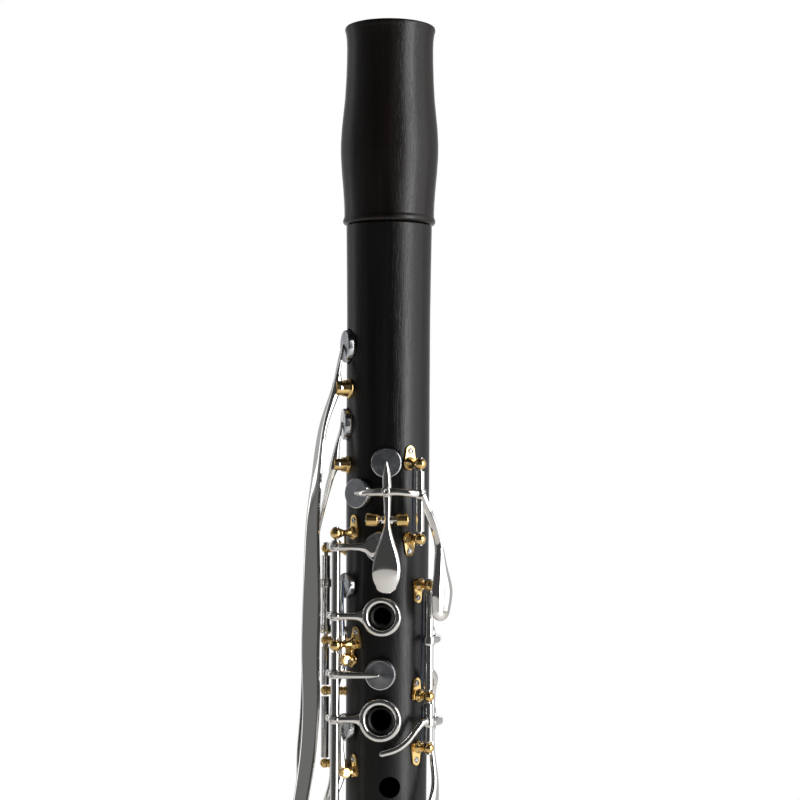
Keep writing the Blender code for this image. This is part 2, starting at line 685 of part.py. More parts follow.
def make_aflat_key():
    top = cup_top(AFLAT_CUP[3])
    arm = [(19.5, -30, 200, 2.8, 2.4), (18.8, -18, 200, 2.6, 2.0), (top + 0.4, 2, 200, 1.6, 1.4)]
    touch = [(19.5, -30, 217.5, 4.0, 2.4), (21.4, -40, 217.5, 9.0, 1.8), (22.2, -55, 217.5, 9.6, 1.6)]
    return key("aflat_key", AFLAT_LINE, (196.4, 221.6), [AFLAT_CUP[:4]], [arm, touch])


def make_fsharp_key():
    top = cup_top(FSHARP_CUP[3])
    arm = [(19.5, -92, 180, 2.8, 2.4), (19.2, -80, 180, 2.6, 2.0), (top + 0.4, -61, 180, 1.6, 1.4)]
    touch = [(19.5, -92, 217.5, 4.0, 2.4), (21.8, -82, 217.5, 8.0, 1.8), (22.4, -64, 217.5, 9.6, 1.6)]
    tail = [
        (19.5, -92, 222.2, 2.6, 2.4), (20.6, -110, 223, 2.4, 1.8), (20.6, -130, 224, 2.4, 1.6),
        (20.6, -150, 224, 2.4, 1.6),
    ]
    obj = key("fsharp_key", FSHARP_LINE, (176.4, 224.2), [FSHARP_CUP[:4]], [arm, touch, tail])
    return swing(obj, FSHARP_LINE, PINKY_OPEN)


def make_f_key():
    top = cup_top(F_CUP[3])
    arm = [(19.5, -114, 155, 2.8, 2.4), (19.4, -98, 155, 2.6, 2.0), (top + 0.4, -75, 155, 1.6, 1.4)]
    touch = [
        (19.5, -114, 205, 3.2, 2.4), (22.6, -104, 205, 3.2, 1.8), (23.2, -88, 205, 6.0, 1.8),
        (23.4, -80, 205, 9.6, 1.6), (23.2, -67, 205, 9.0, 1.5),
    ]
    tail = [
        (19.5, -114, 210, 2.6, 2.4), (20.6, -132, 210, 2.4, 1.8), (20.6, -155, 210, 2.4, 1.6),
        (20.6, -175, 210, 2.4, 1.6),
    ]
    obj = key("f_key", F_LINE, (148.4, 211.6), [F_CUP[:4]], [arm, touch, tail])
    return swing(obj, F_LINE, PINKY_OPEN)


def make_e_key():
    top = cup_top(E_CUP[3])
    arm = [(19.5, -136, 131, 2.8, 2.4), (19.4, -118, 131, 2.6, 2.0), (top + 0.4, -97, 131, 1.6, 1.4)]
    touch = [
        (19.5, -136, 195, 3.2, 2.4), (22.4, -124, 195, 3.0, 1.8), (23.2, -104, 195, 3.0, 1.8),
        (23.4, -68, 195.2, 3.2, 1.8), (23.2, -54, 198, 5.0, 1.6), (22.8, -48, 204.5, 8.0, 1.5),
        (22.6, -48, 209.5, 5.0, 1.3),
    ]
    tail = [
        (19.5, -136, 200, 2.6, 2.4), (20.6, -154, 200, 2.4, 1.8), (20.6, -178, 200, 2.4, 1.6),
        (20.6, -200, 200, 2.4, 1.6),
    ]
    obj = key("e_key", E_LINE, (124.4, 201.6), [E_CUP[:4]], [arm, touch, tail])
    return swing(obj, E_LINE, PINKY_OPEN)


def make_left_lever(name, line, low, tip_deg):
    """A left-hand lever: its touch above the middle tenon, and an arm round the back below."""
    reach, deg = line
    link = low + 2
    touch = [
        (reach, deg, 291, 2.6, 2.4), (22.5, deg - 4, 295.5, 3.0, 1.6), (23.0, deg - 16, 304, 5.0, 1.6),
        (23.2, deg - 22, 313, 6.6, 1.5), (23.2, deg - 22, 326, 5.4, 1.4),
    ]
    turn = tip_deg - deg
    arm = [
        (reach, deg, link, 2.6, 2.4), (17.6, deg + 0.25 * turn, link, 2.4, 1.8),
        (16.5, deg + 0.6 * turn, link, 2.4, 1.4), (16.3, tip_deg, link, 2.4, 1.4),
    ]
    return key(name, line, (low, 294.9), bars=[touch, arm])


# ---------------------------------------------------------------- posts

def make_upper_posts():
    pieces = posts_on_rod(STACK_LINE, (424.3, 388.1, 326.0))
    pieces += posts_on_rod(THUMB_LINE, (418.5, 388.1))
    pieces += cross_posts(SIDE_PIVOTS[1])
    pieces.append(strap([(-50, 388.1), (-64, 388.1), (-82, 388.1), (-102, 388.1)]))
    pieces.append(strap([(-53, 388), (-54, 385.5), (-55, 382)]))
    pieces.append(strap([(-69, 388), (-69, 385.5), (-69, 382)]))
    finish("upper_stack_posts", pieces, GOLD)
    finish("gsharp_posts", posts_on_rod(GSHARP_LINE, (446.9, 422.7)), GOLD)
    finish("throat_a_posts", cross_posts(A_PIVOT, half_gap=3.1, head=3.7, head_r=2.15), GOLD)
    finish("register_posts", cross_posts(REGISTER_PIVOT), GOLD)
    finish("right_posts", posts_on_rod(SLIVER_LINE, (407.5, 371.6, 355.0), ball_r=1.8), GOLD)
    finish("side_key_1_posts", cross_posts(SIDE_PIVOTS[0]), GOLD)
    saddle("side_key_3_post", SIDE_PIVOTS[2])
    saddle("side_key_4_post", SIDE_PIVOTS[3])


def make_lower_posts():
    pieces = posts_on_rod(STACK_LINE, (297.0, 228.1))
    pieces += posts_on_rod(AFLAT_LINE, (223.9, 194.1))
    pieces.append(strap([(-54, 228.1), (-46, 228.1), (-36, 225), (-28, 224)]))
    finish("lower_stack_posts", pieces, GOLD)
    finish("lower_sliver_posts", posts_on_rod(SLIVER_LINE, (261.8, 246.2), ball_r=1.8), GOLD)
    pinky = posts_on_rod(FSHARP_LINE, (226.5, 174.1))
    pinky += posts_on_rod(F_LINE, (213.9, 146.1))
    pinky += posts_on_rod(E_LINE, (203.9, 122.1))
    pinky.append(strap([(-91, 227), (-96, 223), (-110, 215), (-124, 210), (-137, 203)]))
    finish("pinky_posts", pinky, GOLD)
    left = []
    for line, low in ((LEFT_FSHARP_LINE, 219.7), (LEFT_F_LINE, 205.7), (LEFT_E_LINE, 195.7)):
        left += posts_on_rod(line, (297.2, low))
    left.append(strap([(104, 297.2), (120, 297.2), (136, 297.2), (152, 297.2)]))
    finish("left_lever_posts", left, GOLD)


def make_pads():
    """Each pad, moved with its key to where it rests, with its origin on the key's hinge."""
    shut = {
        "register_pad": (REGISTER_CUP, REGISTER_PIVOT), "throat_a_pad": (A_CUP, A_PIVOT),
        "throat_gsharp_pad": (GSHARP_CUP, GSHARP_LINE), "csharp_pad": (CSHARP_CUP, SLIVER_LINE),
        "eflat_pad": (EFLAT_CUP, SLIVER_LINE), "lower_sliver_pad": (LOWER_SLIVER_CUP, SLIVER_LINE),
        "aflat_pad": (AFLAT_CUP, AFLAT_LINE),
    }
    for i, spec in enumerate(SIDE_CUPS):
        shut[f"side_key_{i + 1}_pad"] = (spec, SIDE_PIVOTS[i])
    for name, (spec, hinge) in shut.items():
        # A hinge along the bore is (r, deg), and its origin is taken at the pad's own height.
        set_origin(pad(name, *spec[:4]), place(hinge[0], hinge[1], hinge[2] if len(hinge) == 3 else spec[1]))
    opened = {
        "first_ring_pad": (FIRST_CUP, STACK_LINE, FIRST_OPEN),
        "second_ring_pad": (SECOND_CUP, STACK_LINE, SECOND_OPEN),
        "thumb_ring_pad": (THUMB_CUP, THUMB_LINE, THUMB_OPEN),
        "lower_ring_pad": (LOWER_STACK_CUP, STACK_LINE, LOWER_OPEN),
        "fsharp_pad": (FSHARP_CUP, FSHARP_LINE, PINKY_OPEN),
        "f_pad": (F_CUP, F_LINE, PINKY_OPEN),
        "e_pad": (E_CUP, E_LINE, PINKY_OPEN),
    }
    for name, (spec, line, angle) in opened.items():
        swing(set_origin(pad(name, *spec[:4]), place(*line, spec[1])), line, angle)


def main():
    for obj in list(bpy.data.objects):
        bpy.data.objects.remove(obj)
    make_bell()
    make_lower_joint()
    make_upper_joint()
    make_barrel()
    make_cork("bell_cork", BELL_TENON_R, BELL_CORK_R, 91.5, 103.5)
    make_cork("middle_cork", TENON_R, CORK_R, 299.5, 311.5)
    make_cork("barrel_cork", TENON_R, CORK_R, 528.5, 540.5)
    make_thumb_rest()
    make_register_key()
    make_throat_a_key()
    make_throat_gsharp_key()
    make_first_ring_key()
    make_second_ring_key()
    make_thumb_ring_key()
    make_csharp_key()
    make_eflat_key()
    make_side_keys()
    make_lower_ring_key()
    make_lower_sliver_key()
    make_aflat_key()
    make_fsharp_key()
    make_f_key()
    make_e_key()
    make_left_lever("left_fsharp_lever", LEFT_FSHARP_LINE, 222.0, 214)
    make_left_lever("left_f_lever", LEFT_F_LINE, 208.0, 189)
    make_left_lever("left_e_lever", LEFT_E_LINE, 198.0, 164)
    make_upper_posts()
    make_lower_posts()
    make_pads()


main()
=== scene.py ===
"""The looks of a Boehm-system clarinet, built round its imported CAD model.

Places on the instrument are (r, deg, z): millimetres from the bore's axis, degrees round it from the
front (-Y) towards +X, and millimetres above the bell's rim. Hinge places come from the frame.
"""

import json
import math

import bmesh
import bpy
from mathutils import Matrix, Vector


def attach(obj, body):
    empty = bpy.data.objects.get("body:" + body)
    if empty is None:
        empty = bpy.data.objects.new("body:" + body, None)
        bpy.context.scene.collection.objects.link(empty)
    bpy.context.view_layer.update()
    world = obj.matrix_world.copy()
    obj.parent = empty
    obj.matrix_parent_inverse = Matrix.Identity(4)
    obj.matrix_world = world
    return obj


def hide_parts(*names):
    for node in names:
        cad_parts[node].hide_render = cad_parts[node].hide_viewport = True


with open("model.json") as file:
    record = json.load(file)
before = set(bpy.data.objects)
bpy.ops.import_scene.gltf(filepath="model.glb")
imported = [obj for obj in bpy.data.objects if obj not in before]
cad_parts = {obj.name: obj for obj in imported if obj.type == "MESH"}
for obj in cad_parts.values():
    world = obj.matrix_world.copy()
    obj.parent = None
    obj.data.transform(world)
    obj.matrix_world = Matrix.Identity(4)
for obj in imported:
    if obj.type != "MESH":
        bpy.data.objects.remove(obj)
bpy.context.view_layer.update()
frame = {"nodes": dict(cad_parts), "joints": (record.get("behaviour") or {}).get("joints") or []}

MM = 0.001
UP = Vector((0, 0, 1))

# The camera, in millimetres and degrees.
CAMERA_REACH = 607.6
CAMERA_HEIGHT = 450.0
CAMERA_TILT = 1.69
CAMERA_LENS = 82.49
CAMERA_ROLL = 0.305
CAMERA_SIDE = 3.9

# Wood: (radius, z) down the outside of each section.
UPPER_WOOD = [(13.2, 314.3), (13.4, 370), (13.75, 440), (13.8, 495), (14, 512), (14.2, 525.7)]
LOWER_TOP = 314.0
LOWER_WOOD_R = 13.85
IN_BORE, PAST_WOOD = 4, 24
RIM_WALL = 0.85

# Key work.
TUBE_R = 1.45
CUP_TOP = 2.9
PAD_THICK = 1.5
RING_LOW, RING_HIGH = 14.5, 16.0

JOINTS = {joint["name"]: joint for joint in frame["joints"]}


# ---- places and meshes

def radial(deg):
    turn = math.radians(deg)
    return Vector((math.sin(turn), -math.cos(turn), 0))


def place(r, deg, z):
    return radial(deg) * r + Vector((0, 0, z))


def hinge(body):
    """(r, deg, z) of the joint that moves a body, in millimetres and degrees."""
    x, y, z = (v / MM for v in JOINTS[body + "_hinge"]["pos_m"])
    return math.hypot(x, y), math.degrees(math.atan2(x, -y)), z


def standing_open(body, end=1):
    """Degrees from shut to how a sprung-open key stands at rest."""
    return -JOINTS[body + "_hinge"]["range_deg"][end]


def smooth(stations, steps):
    """Catmull-Rom points through the stations, which are tuples of numbers."""
    last = len(stations) - 1
    found = []
    for i in range(last):
        before, a, b, after = (stations[min(max(i + k, 0), last)] for k in (-1, 0, 1, 2))
        for step in range(steps):
            t = step / steps
            found.append(tuple(
                0.5 * (2 * q + (r - p) * t + (2 * p - 5 * q + 4 * r - s) * t ** 2
                       + (3 * q - p - 3 * r + s) * t ** 3)
                for p, q, r, s in zip(before, a, b, after)
            ))
    return found + [stations[-1]]


def softened(points, radius, steps=3):
    """The polyline with each inner corner rounded off."""
    found = [points[0]]
    for a, b, c in zip(points, points[1:], points[2:]):
        a, b, c = Vector(a), Vector(b), Vector(c)
        cut = min(radius, (a - b).length * 0.45, (c - b).length * 0.45)
        start = b + (a - b).normalized() * cut
        end = b + (c - b).normalized() * cut
        for k in range(steps + 1):
            t = k / steps
            found.append(tuple(start.lerp(b, t).lerp(b.lerp(end, t), t)))
    return found + [points[-1]]


def linked(name, data):
    obj = bpy.data.objects.new(name, data)
    bpy.context.scene.collection.objects.link(obj)
    return obj


class Piece:
    """One visible piece, gathered in millimetres from several shapes."""

    def __init__(self):
        self.points = []
        self.faces = []

    def rings(self, rings, closed=False):
        """Skin over rings of points. A ring of one point is a pole."""
        starts = []
        for ring in rings:
            starts.append(len(self.points))
            self.points += ring
        spans = len(rings) if closed else len(rings) - 1
        for i in range(spans):
            j = (i + 1) % len(rings)
            self.span(starts[i], len(rings[i]), starts[j], len(rings[j]))
        if not closed:
            for i, flip in ((0, True), (-1, False)):
                if len(rings[i]) > 1:
                    cap = [starts[i] + k for k in range(len(rings[i]))]
                    self.faces.append(tuple(reversed(cap)) if flip else tuple(cap))

    def span(self, a, count_a, b, count_b):
        count = max(count_a, count_b)
        for k in range(count):
            n = (k + 1) % count
            if count_a == 1:
                self.faces.append((a, b + n, b + k))
            elif count_b == 1:
                self.faces.append((a + k, a + n, b))
            else:
                self.faces.append((a + k, a + n, b + n, b + k))

    def turned(self, profile, origin, axis, sides=48, closed=False):
        """A lathed shape: profile holds (radius, height) along axis."""
        turn = UP.rotation_difference(axis)
        rings = []
        for radius, height in profile:
            if radius < 1e-6:
                rings.append([origin + turn @ Vector((0, 0, height))])
                continue
            ring = []
            for k in range(sides):
                angle = 2 * math.pi * k / sides
                flat = Vector((radius * math.cos(angle), radius * math.sin(angle), height))
                ring.append(origin + turn @ flat)
            rings.append(ring)
        self.rings(rings, closed)
        return self

    def rod(self, start, end, radius, edge=0.15, sides=24):
        along = end - start
        length = along.length
        profile = softened([(0, 0), (radius, 0), (radius, length), (0, length)], edge, 2)
        return self.turned(profile, start, along.normalized(), sides)

    def ball(self, centre, axis, radius, sides=28, flat=0.06):
        """A turned ball with its two ends cut square by flat, a share of its radius."""
        last = math.asin(1 - flat)
        profile = [(0, -radius * math.sin(last))]
        for k in range(15):
            turn = last * (2 * k / 14 - 1)
            profile.append((radius * math.cos(turn), radius * math.sin(turn)))
        profile.append((0, radius * math.sin(last)))
        return self.turned(profile, centre, axis, sides)

    def bar(self, stations, steps=8, sides=20, square=0.75, tips=(0.5, 0.5), crown=0):
        """A lever, arm or touchpiece through stations (r, deg, z, width, thickness, facing).

        Its outer face looks towards facing, or straight out from the bore where that is left out.
        square under 1 gives flat faces with round edges, tips say how long each end's rounding is
        as a share of the width, and crown raises the middle of the outer face.
        """
        full = [station if len(station) == 6 else (*station, station[1]) for station in stations]
        path = smooth(full, steps)
        spots = [place(r, deg, z) for r, deg, z, _, _, _ in path]
        rings = []
        last = len(spots) - 1
        for i, (_, _, _, width, thick, facing) in enumerate(path):
            along = (spots[min(i + 1, last)] - spots[max(i - 1, 0)]).normalized()
            out = radial(facing)
            out = (out - along * out.dot(along)).normalized()
            side = along.cross(out)
            shape = (along, side, out, width, thick, square, crown)
            if i == 0:
                rings += self.tip(spots[i], shape, sides, tips[0], -1)
            rings.append(self.section(spots[i], shape, sides, 1))
            if i == last:
                rings += self.tip(spots[i], shape, sides, tips[1], 1)
        self.rings(rings)
        return self

    def tip(self, spot, shape, sides, share, sign):
        """Rings that round off a bar's end."""
        along, width = shape[0], shape[3]
        found = []
        for turn in (20, 38, 54, 68, 80, 87):
            angle = math.radians(turn)
            shift = along * sign * share * width * math.sin(angle)
            found.append(self.section(spot + shift, shape, sides, math.cos(angle)))
        return found if sign > 0 else found[::-1]

    def section(self, spot, shape, sides, scale):
        _, side, out, width, thick, square, crown = shape
        ring = []
        for k in range(sides):
            angle = 2 * math.pi * (k + 0.5) / sides
            c, s = math.cos(angle), math.sin(angle)
            u = math.copysign(abs(c) ** square, c)
            v = math.copysign(abs(s) ** square, s)
            lift = crown * (1 - u * u) * scale if s > 0 else 0.0
            thin = thick * (0.35 + 0.65 * scale)
            ring.append(spot + side * u * scale * width / 2 + out * (v * thin / 2 + lift))
        return ring

    def swing(self, line, angle):
        """Turn every point so far about a hinge along the bore."""
        centre = place(*line, 0)
        turn = Matrix.Rotation(math.radians(angle), 3, "Z")
        self.points = [centre + turn @ (p - centre) for p in self.points]
        return self

    def bare(self, name):
        """The piece as an object that has no material yet."""
        mesh = bpy.data.meshes.new(name)
        mesh.from_pydata([p * MM for p in self.points], [], self.faces)
        obj = linked(name, mesh)
        bm = bmesh.new()
        bm.from_mesh(mesh)
        bmesh.ops.recalc_face_normals(bm, faces=bm.faces)
        bm.to_mesh(mesh)
        bm.free()
        return obj

    def save(self, name, material, body, slot, replaces=(), sharp=32):
        return dress(self.bare(name), material, body, replaces, sharp)


def dress(obj, material, body, replaces=(), sharp=32):
    """Give a finished mesh its material and its place in the frame."""
    obj.data.materials.clear()
    obj.data.materials.append(material)
    obj.data.shade_smooth()
    obj.data.set_sharp_from_angle(angle=math.radians(sharp))
    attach(obj, body)
    if replaces:
        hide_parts(*replaces)
    return obj


# ---- materials

class Nodes:
    """A few words for building a material's node tree."""

    def __init__(self, tree):
        self.tree = tree

    def add(self, kind, **values):
        node = self.tree.nodes.new(kind)
        for key, value in values.items():
            if key in node.inputs:
                node.inputs[key].default_value = value
            else:
                setattr(node, key, value)
        return node

    def link(self, source, target):
        self.tree.links.new(source, target)

    def math(self, operation, a, b=0):
        node = self.tree.nodes.new("ShaderNodeMath")
        node.operation = operation
        for i, value in enumerate((a, b)):
            if isinstance(value, (int, float)):
                node.inputs[i].default_value = value
            else:
                self.link(value, node.inputs[i])
        return node.outputs[0]

    def step(self, value, low, high, out_low=0, out_high=1):
        """Smooth rise from out_low to out_high as value goes from low to high."""
        node = self.tree.nodes.new("ShaderNodeMapRange")
        node.interpolation_type = "SMOOTHSTEP"
        self.link(value, node.inputs["Value"])
        ends = (("From Min", low), ("From Max", high), ("To Min", out_low), ("To Max", out_high))
        for key, number in ends:
            node.inputs[key].default_value = number
        return node.outputs["Result"]

    def noise(self, scale, detail=3, stretch=(1, 1, 1)):
        """Noise over the object, per metre, squeezed by stretch."""
        where = self.tree.nodes.new("ShaderNodeTexCoord")
        mapping = self.add("ShaderNodeMapping", Scale=stretch)
        self.link(where.outputs["Object"], mapping.inputs["Vector"])
        node = self.add("ShaderNodeTexNoise", Scale=scale, Detail=detail)
        self.link(mapping.outputs["Vector"], node.inputs["Vector"])
        return node.outputs["Fac"]

    def ramp(self, value, stops):
        node = self.tree.nodes.new("ShaderNodeValToRGB")
        self.link(value, node.inputs["Fac"])
        ramp = node.color_ramp
        while len(ramp.elements) < len(stops):
            ramp.elements.new(0.5)
        for element, (at, colour) in zip(ramp.elements, stops):
            element.position = at
            element.color = (*colour, 1)
        return node.outputs["Color"]

    def bump(self, height, distance, strength, shader, before=None):
        node = self.add("ShaderNodeBump", Strength=strength, Distance=distance)
        self.link(height, node.inputs["Height"])
        if before is not None:
            self.link(before, node.inputs["Normal"])
        if shader is not None:
            self.link(node.outputs["Normal"], shader.inputs["Normal"])
        return node.outputs["Normal"]


def new_material(name, **values):
    material = bpy.data.materials.new(name)
    material.use_nodes = True
    nodes = Nodes(material.node_tree)
    shader = material.node_tree.nodes["Principled BSDF"]
    for key, value in values.items():
        shader.inputs[key.replace("_", " ")].default_value = value
    return material, nodes, shader


def wood_material(name, dark, light, roughness, grain):
    """Oiled grenadilla: fine straight grain, and open pores drawn out along the bore."""
    material, nodes, shader = new_material(name, Specular_IOR_Level=0.5)
    streaks = nodes.noise(260, 5, (1, 1, 0.035))
    nodes.link(nodes.ramp(streaks, ((0.32, dark), (0.72, light))), shader.inputs["Base Color"])
    pores = nodes.noise(2600, 2, (1, 1, 0.06))
    pits = nodes.step(pores, 0.36, 0.46)
    rough = nodes.step(streaks, 0.3, 0.7, roughness - 0.05, roughness + 0.07)
    nodes.link(rough, shader.inputs["Roughness"])
    deep = nodes.bump(pits, 0.00006, 0.35 * grain, None)
    nodes.bump(streaks, 0.0002, 0.22 * grain, shader, deep)
    return material


def plate_material(name, colour, roughness, spun=False):
    """Polished plating with faint buffing marks and handling haze."""
    material, nodes, shader = new_material(name, Metallic=1, Base_Color=(*colour, 1))
    haze = nodes.noise(180, 4)
    rough = nodes.step(haze, 0.3, 0.75, roughness * 0.7, roughness * 1.5)
    nodes.link(rough, shader.inputs["Roughness"])
    marks = nodes.noise(90, 2)
    nodes.bump(marks, 0.00005, 0.05, shader)
    if spun:
        shader.inputs["Anisotropic"].default_value = 1.0
        shader.inputs["Anisotropic Rotation"].default_value = 0.25
        tangent = nodes.add("ShaderNodeTangent", direction_type="RADIAL", axis="Z")
        nodes.link(tangent.outputs["Tangent"], shader.inputs["Tangent"])
    return material


def mottled_material(name, scale, detail, stops, roughness, bump, **values):
    """Pad skin or cork: bump is the depth in metres and the strength."""
    material, nodes, shader = new_material(name, Roughness=roughness, **values)
    mottle = nodes.noise(scale, detail)
    nodes.link(nodes.ramp(mottle, stops), shader.inputs["Base Color"])
    nodes.bump(mottle, *bump, shader)
    return material


def floor_material():
    """A white table, lit a little from below as product tables are."""
    material, nodes, shader = new_material(
        "floor", Roughness=0.7, Emission_Color=(1, 0.95, 0.88, 1), Emission_Strength=0.3,
    )
    soft = nodes.noise(3, 2)
    nodes.link(
        nodes.ramp(soft, ((0.3, (0.80, 0.80, 0.79)), (0.7, (0.83, 0.83, 0.82)))), shader.inputs["Base Color"],
    )
    return material


JOINT_WOOD = wood_material("joint_wood", (0.0025, 0.0025, 0.0028), (0.005, 0.0048, 0.0048), 0.33, 0.8)
BARREL_WOOD = wood_material("barrel_wood", (0.0035, 0.0022, 0.0018), (0.009, 0.0052, 0.004), 0.31, 0.7)
SILVER = plate_material("silver", (0.93, 0.92, 0.90), 0.06)
# Cup tops: the silver is darker and bluer than the keys' silver, a painted dark, bluish reflection. Only the spun
# grain, from the anisotropy, is the metal's own.
SPUN_PAINTED_REFLECTION = plate_material("spun_silver_painted_reflection", (0.62, 0.64, 0.68), 0.16, spun=True)
STEEL = plate_material("steel", (0.60, 0.60, 0.61), 0.16)
BLUED = plate_material("blued_steel", (0.10, 0.12, 0.20), 0.25)
GOLD = plate_material("gold", (0.90, 0.63, 0.26), 0.14)
PAD = mottled_material(
    "pad_skin", 500, 4, ((0.3, (0.70, 0.60, 0.44)), (0.7, (0.84, 0.76, 0.60))), 0.62, (0.0001, 0.3),
    Sheen_Weight=0.2,
)
CORK = mottled_material(
    "cork", 900, 5, ((0.3, (0.30, 0.17, 0.08)), (0.5, (0.52, 0.34, 0.18)), (0.75, (0.66, 0.47, 0.28))), 0.85,
    (0.0003, 0.6),
)


# ---- the wood

def wood_r(z):
    """Radius of the wood's outside under the key work."""
    if z < LOWER_TOP:
        return LOWER_WOOD_R
    for (r1, z1), (r2, z2) in zip(UPPER_WOOD, UPPER_WOOD[1:]):
        if z <= z2:
            return r1 + (r2 - r1) * max(0, (z - z1) / (z2 - z1))
    return UPPER_WOOD[-1][0]


def close_spaced(profile, gap=4):
    """The profile with long straight stretches split up."""
    found = []
    for (r1, z1), (r2, z2) in zip(profile, profile[1:]):
        count = max(1, math.ceil(math.hypot(r2 - r1, z2 - z1) / gap))
        for k in range(count):
            t = k / count
            found.append((r1 + (r2 - r1) * t, z1 + (z2 - z1) * t))
    return found + [profile[-1]]


def wall(outer, inner, sides=128, edge=0.5):
    """A turned wall, from outer and inner (radius, z) lists that both run upwards."""
    outside = close_spaced(softened(outer, edge))
    inside = close_spaced(softened(inner, 0.3))
    return Piece().turned(outside + inside[::-1], Vector(), UP, sides, closed=True)


def cutter(low, deg, z, radius):
    """A hidden cylinder for a tone hole or a seat, from low out past the wood."""
    start = place(low, deg, z)
    along = place(PAST_WOOD, deg, z) - start
    shape = Piece().turned([(radius, 0), (radius, along.length)], start, along.normalized(), 40)
    return shape.bare("cutter")


def drilled(obj, cutters):
    """Cut the holes for good, and drop the cutters."""
    for other in cutters:
        modifier = obj.modifiers.new("hole", "BOOLEAN")
        modifier.operation = "DIFFERENCE"
        modifier.object = other
    bpy.context.view_layer.update()
    graph = bpy.context.evaluated_depsgraph_get()
    mesh = bpy.data.meshes.new_from_object(obj.evaluated_get(graph))
    obj.modifiers.clear()
    obj.data = mesh
    for other in cutters:
        bpy.data.objects.remove(other)
    return obj


# Pad cups as (deg, z, radius, seat, tone hole radius).
CUPS = {
    "throat_a_key": (-1.5, 447.1, 5, 13.2, 2.6),
    "throat_gsharp_key": (-40, 437.2, 5, 13.2, 2.4),
    "first_ring_key": (-7.5, 420, 5, 13.2, 2.6),
    "second_ring_key": (-6.5, 379.1, 5, 13.2, 2.8),
    "thumb_ring_key": (-140, 391, 4.2, 13.2, 2.2),
    "csharp_key": (118, 389.6, 4.6, 13.2, 2.4),
    "eflat_key": (98, 363, 4.2, 13.2, 2.2),
    "register_key": (180, 505, 4.2, 13.5, 1.6),
    "side_key_1": (-62, 361, 4.5, 13.2, 2.4),
    "side_key_2": (-62, 407, 4.2, 13.2, 2.4),
    "side_key_3": (-79, 459.8, 5.2, 12.4, 2.6),
    "side_key_4": (-73, 485.4, 5.4, 12.4, 2.8),
    "lower_ring_key": (-24, 278, 4.2, 13.2, 2.6),
    "lower_sliver_key": (91, 254, 4.2, 13.2, 2.6),
    "aflat_key": (6, 200, 6, 12.8, 3.9),
    "fsharp_key": (-58, 180, 6.5, 12.6, 4.2),
    "f_key": (-72, 155, 7.4, 12.2, 5),
    "e_key": (-95, 131, 7.8, 12, 5.4),
}

# Finger holes as (deg, z, ring outer radius, ring inner radius, hole radius).
RINGS = {
    "first_ring_key": [(-5.5, 397.6, 6.45, 4.2, 2.9)],
    "second_ring_key": [(-6.5, 364.4, 7, 4.7, 3.4)],
    "thumb_ring_key": [(180, 407, 6.5, 4.7, 3.3)],
    "lower_ring_key": [(0, 289, 6.5, 4.8, 3.5), (0, 267, 6.6, 4.9, 3.6), (0, 241, 6.8, 5.1, 3.8)],
}
LH3_HOLE = (5.5, 342.5, 3.45)


def make_joint_wood(name, outer, inner, in_joint):
    """A turned joint with its seats, tone holes and finger holes."""
    obj = wall(outer, inner).bare(name)
    cutters = []
    for deg, z, radius, seat, hole in CUPS.values():
        if in_joint(z):
            cutters.append(cutter(seat - 0.1, deg, z, radius + 0.5))
            cutters.append(cutter(IN_BORE, deg, z, hole))
    for rings in RINGS.values():
        for deg, z, _, _, hole in rings:
            if in_joint(z):
                cutters.append(cutter(IN_BORE, deg, z, hole + RIM_WALL))
    deg, z, hole = LH3_HOLE
    if in_joint(z):
        cutters.append(cutter(IN_BORE, deg, z, hole))
    drilled(obj, cutters)
    return dress(obj, JOINT_WOOD, "body", (name,), sharp=28)


def make_chimneys():
    """The turned rims of the finger holes, which the rings close round."""
    for body, rings in RINGS.items():
        for i, (deg, z, _, inner, hole) in enumerate(rings):
            outer = inner - 0.42
            profile = [
                (hole, 7.9), (outer, 7.9), (outer, 15.3), (outer - 0.35, 15.62), (hole + 0.5, 15.62), (hole, 15.1),
            ]
            shape = Piece().turned(softened(profile, 0.2, 2), Vector((0, 0, z)), radial(deg), 64, closed=True)
            shape.save(f"{body}_chimney_{i + 1}", JOINT_WOOD, "body", "black_wood")


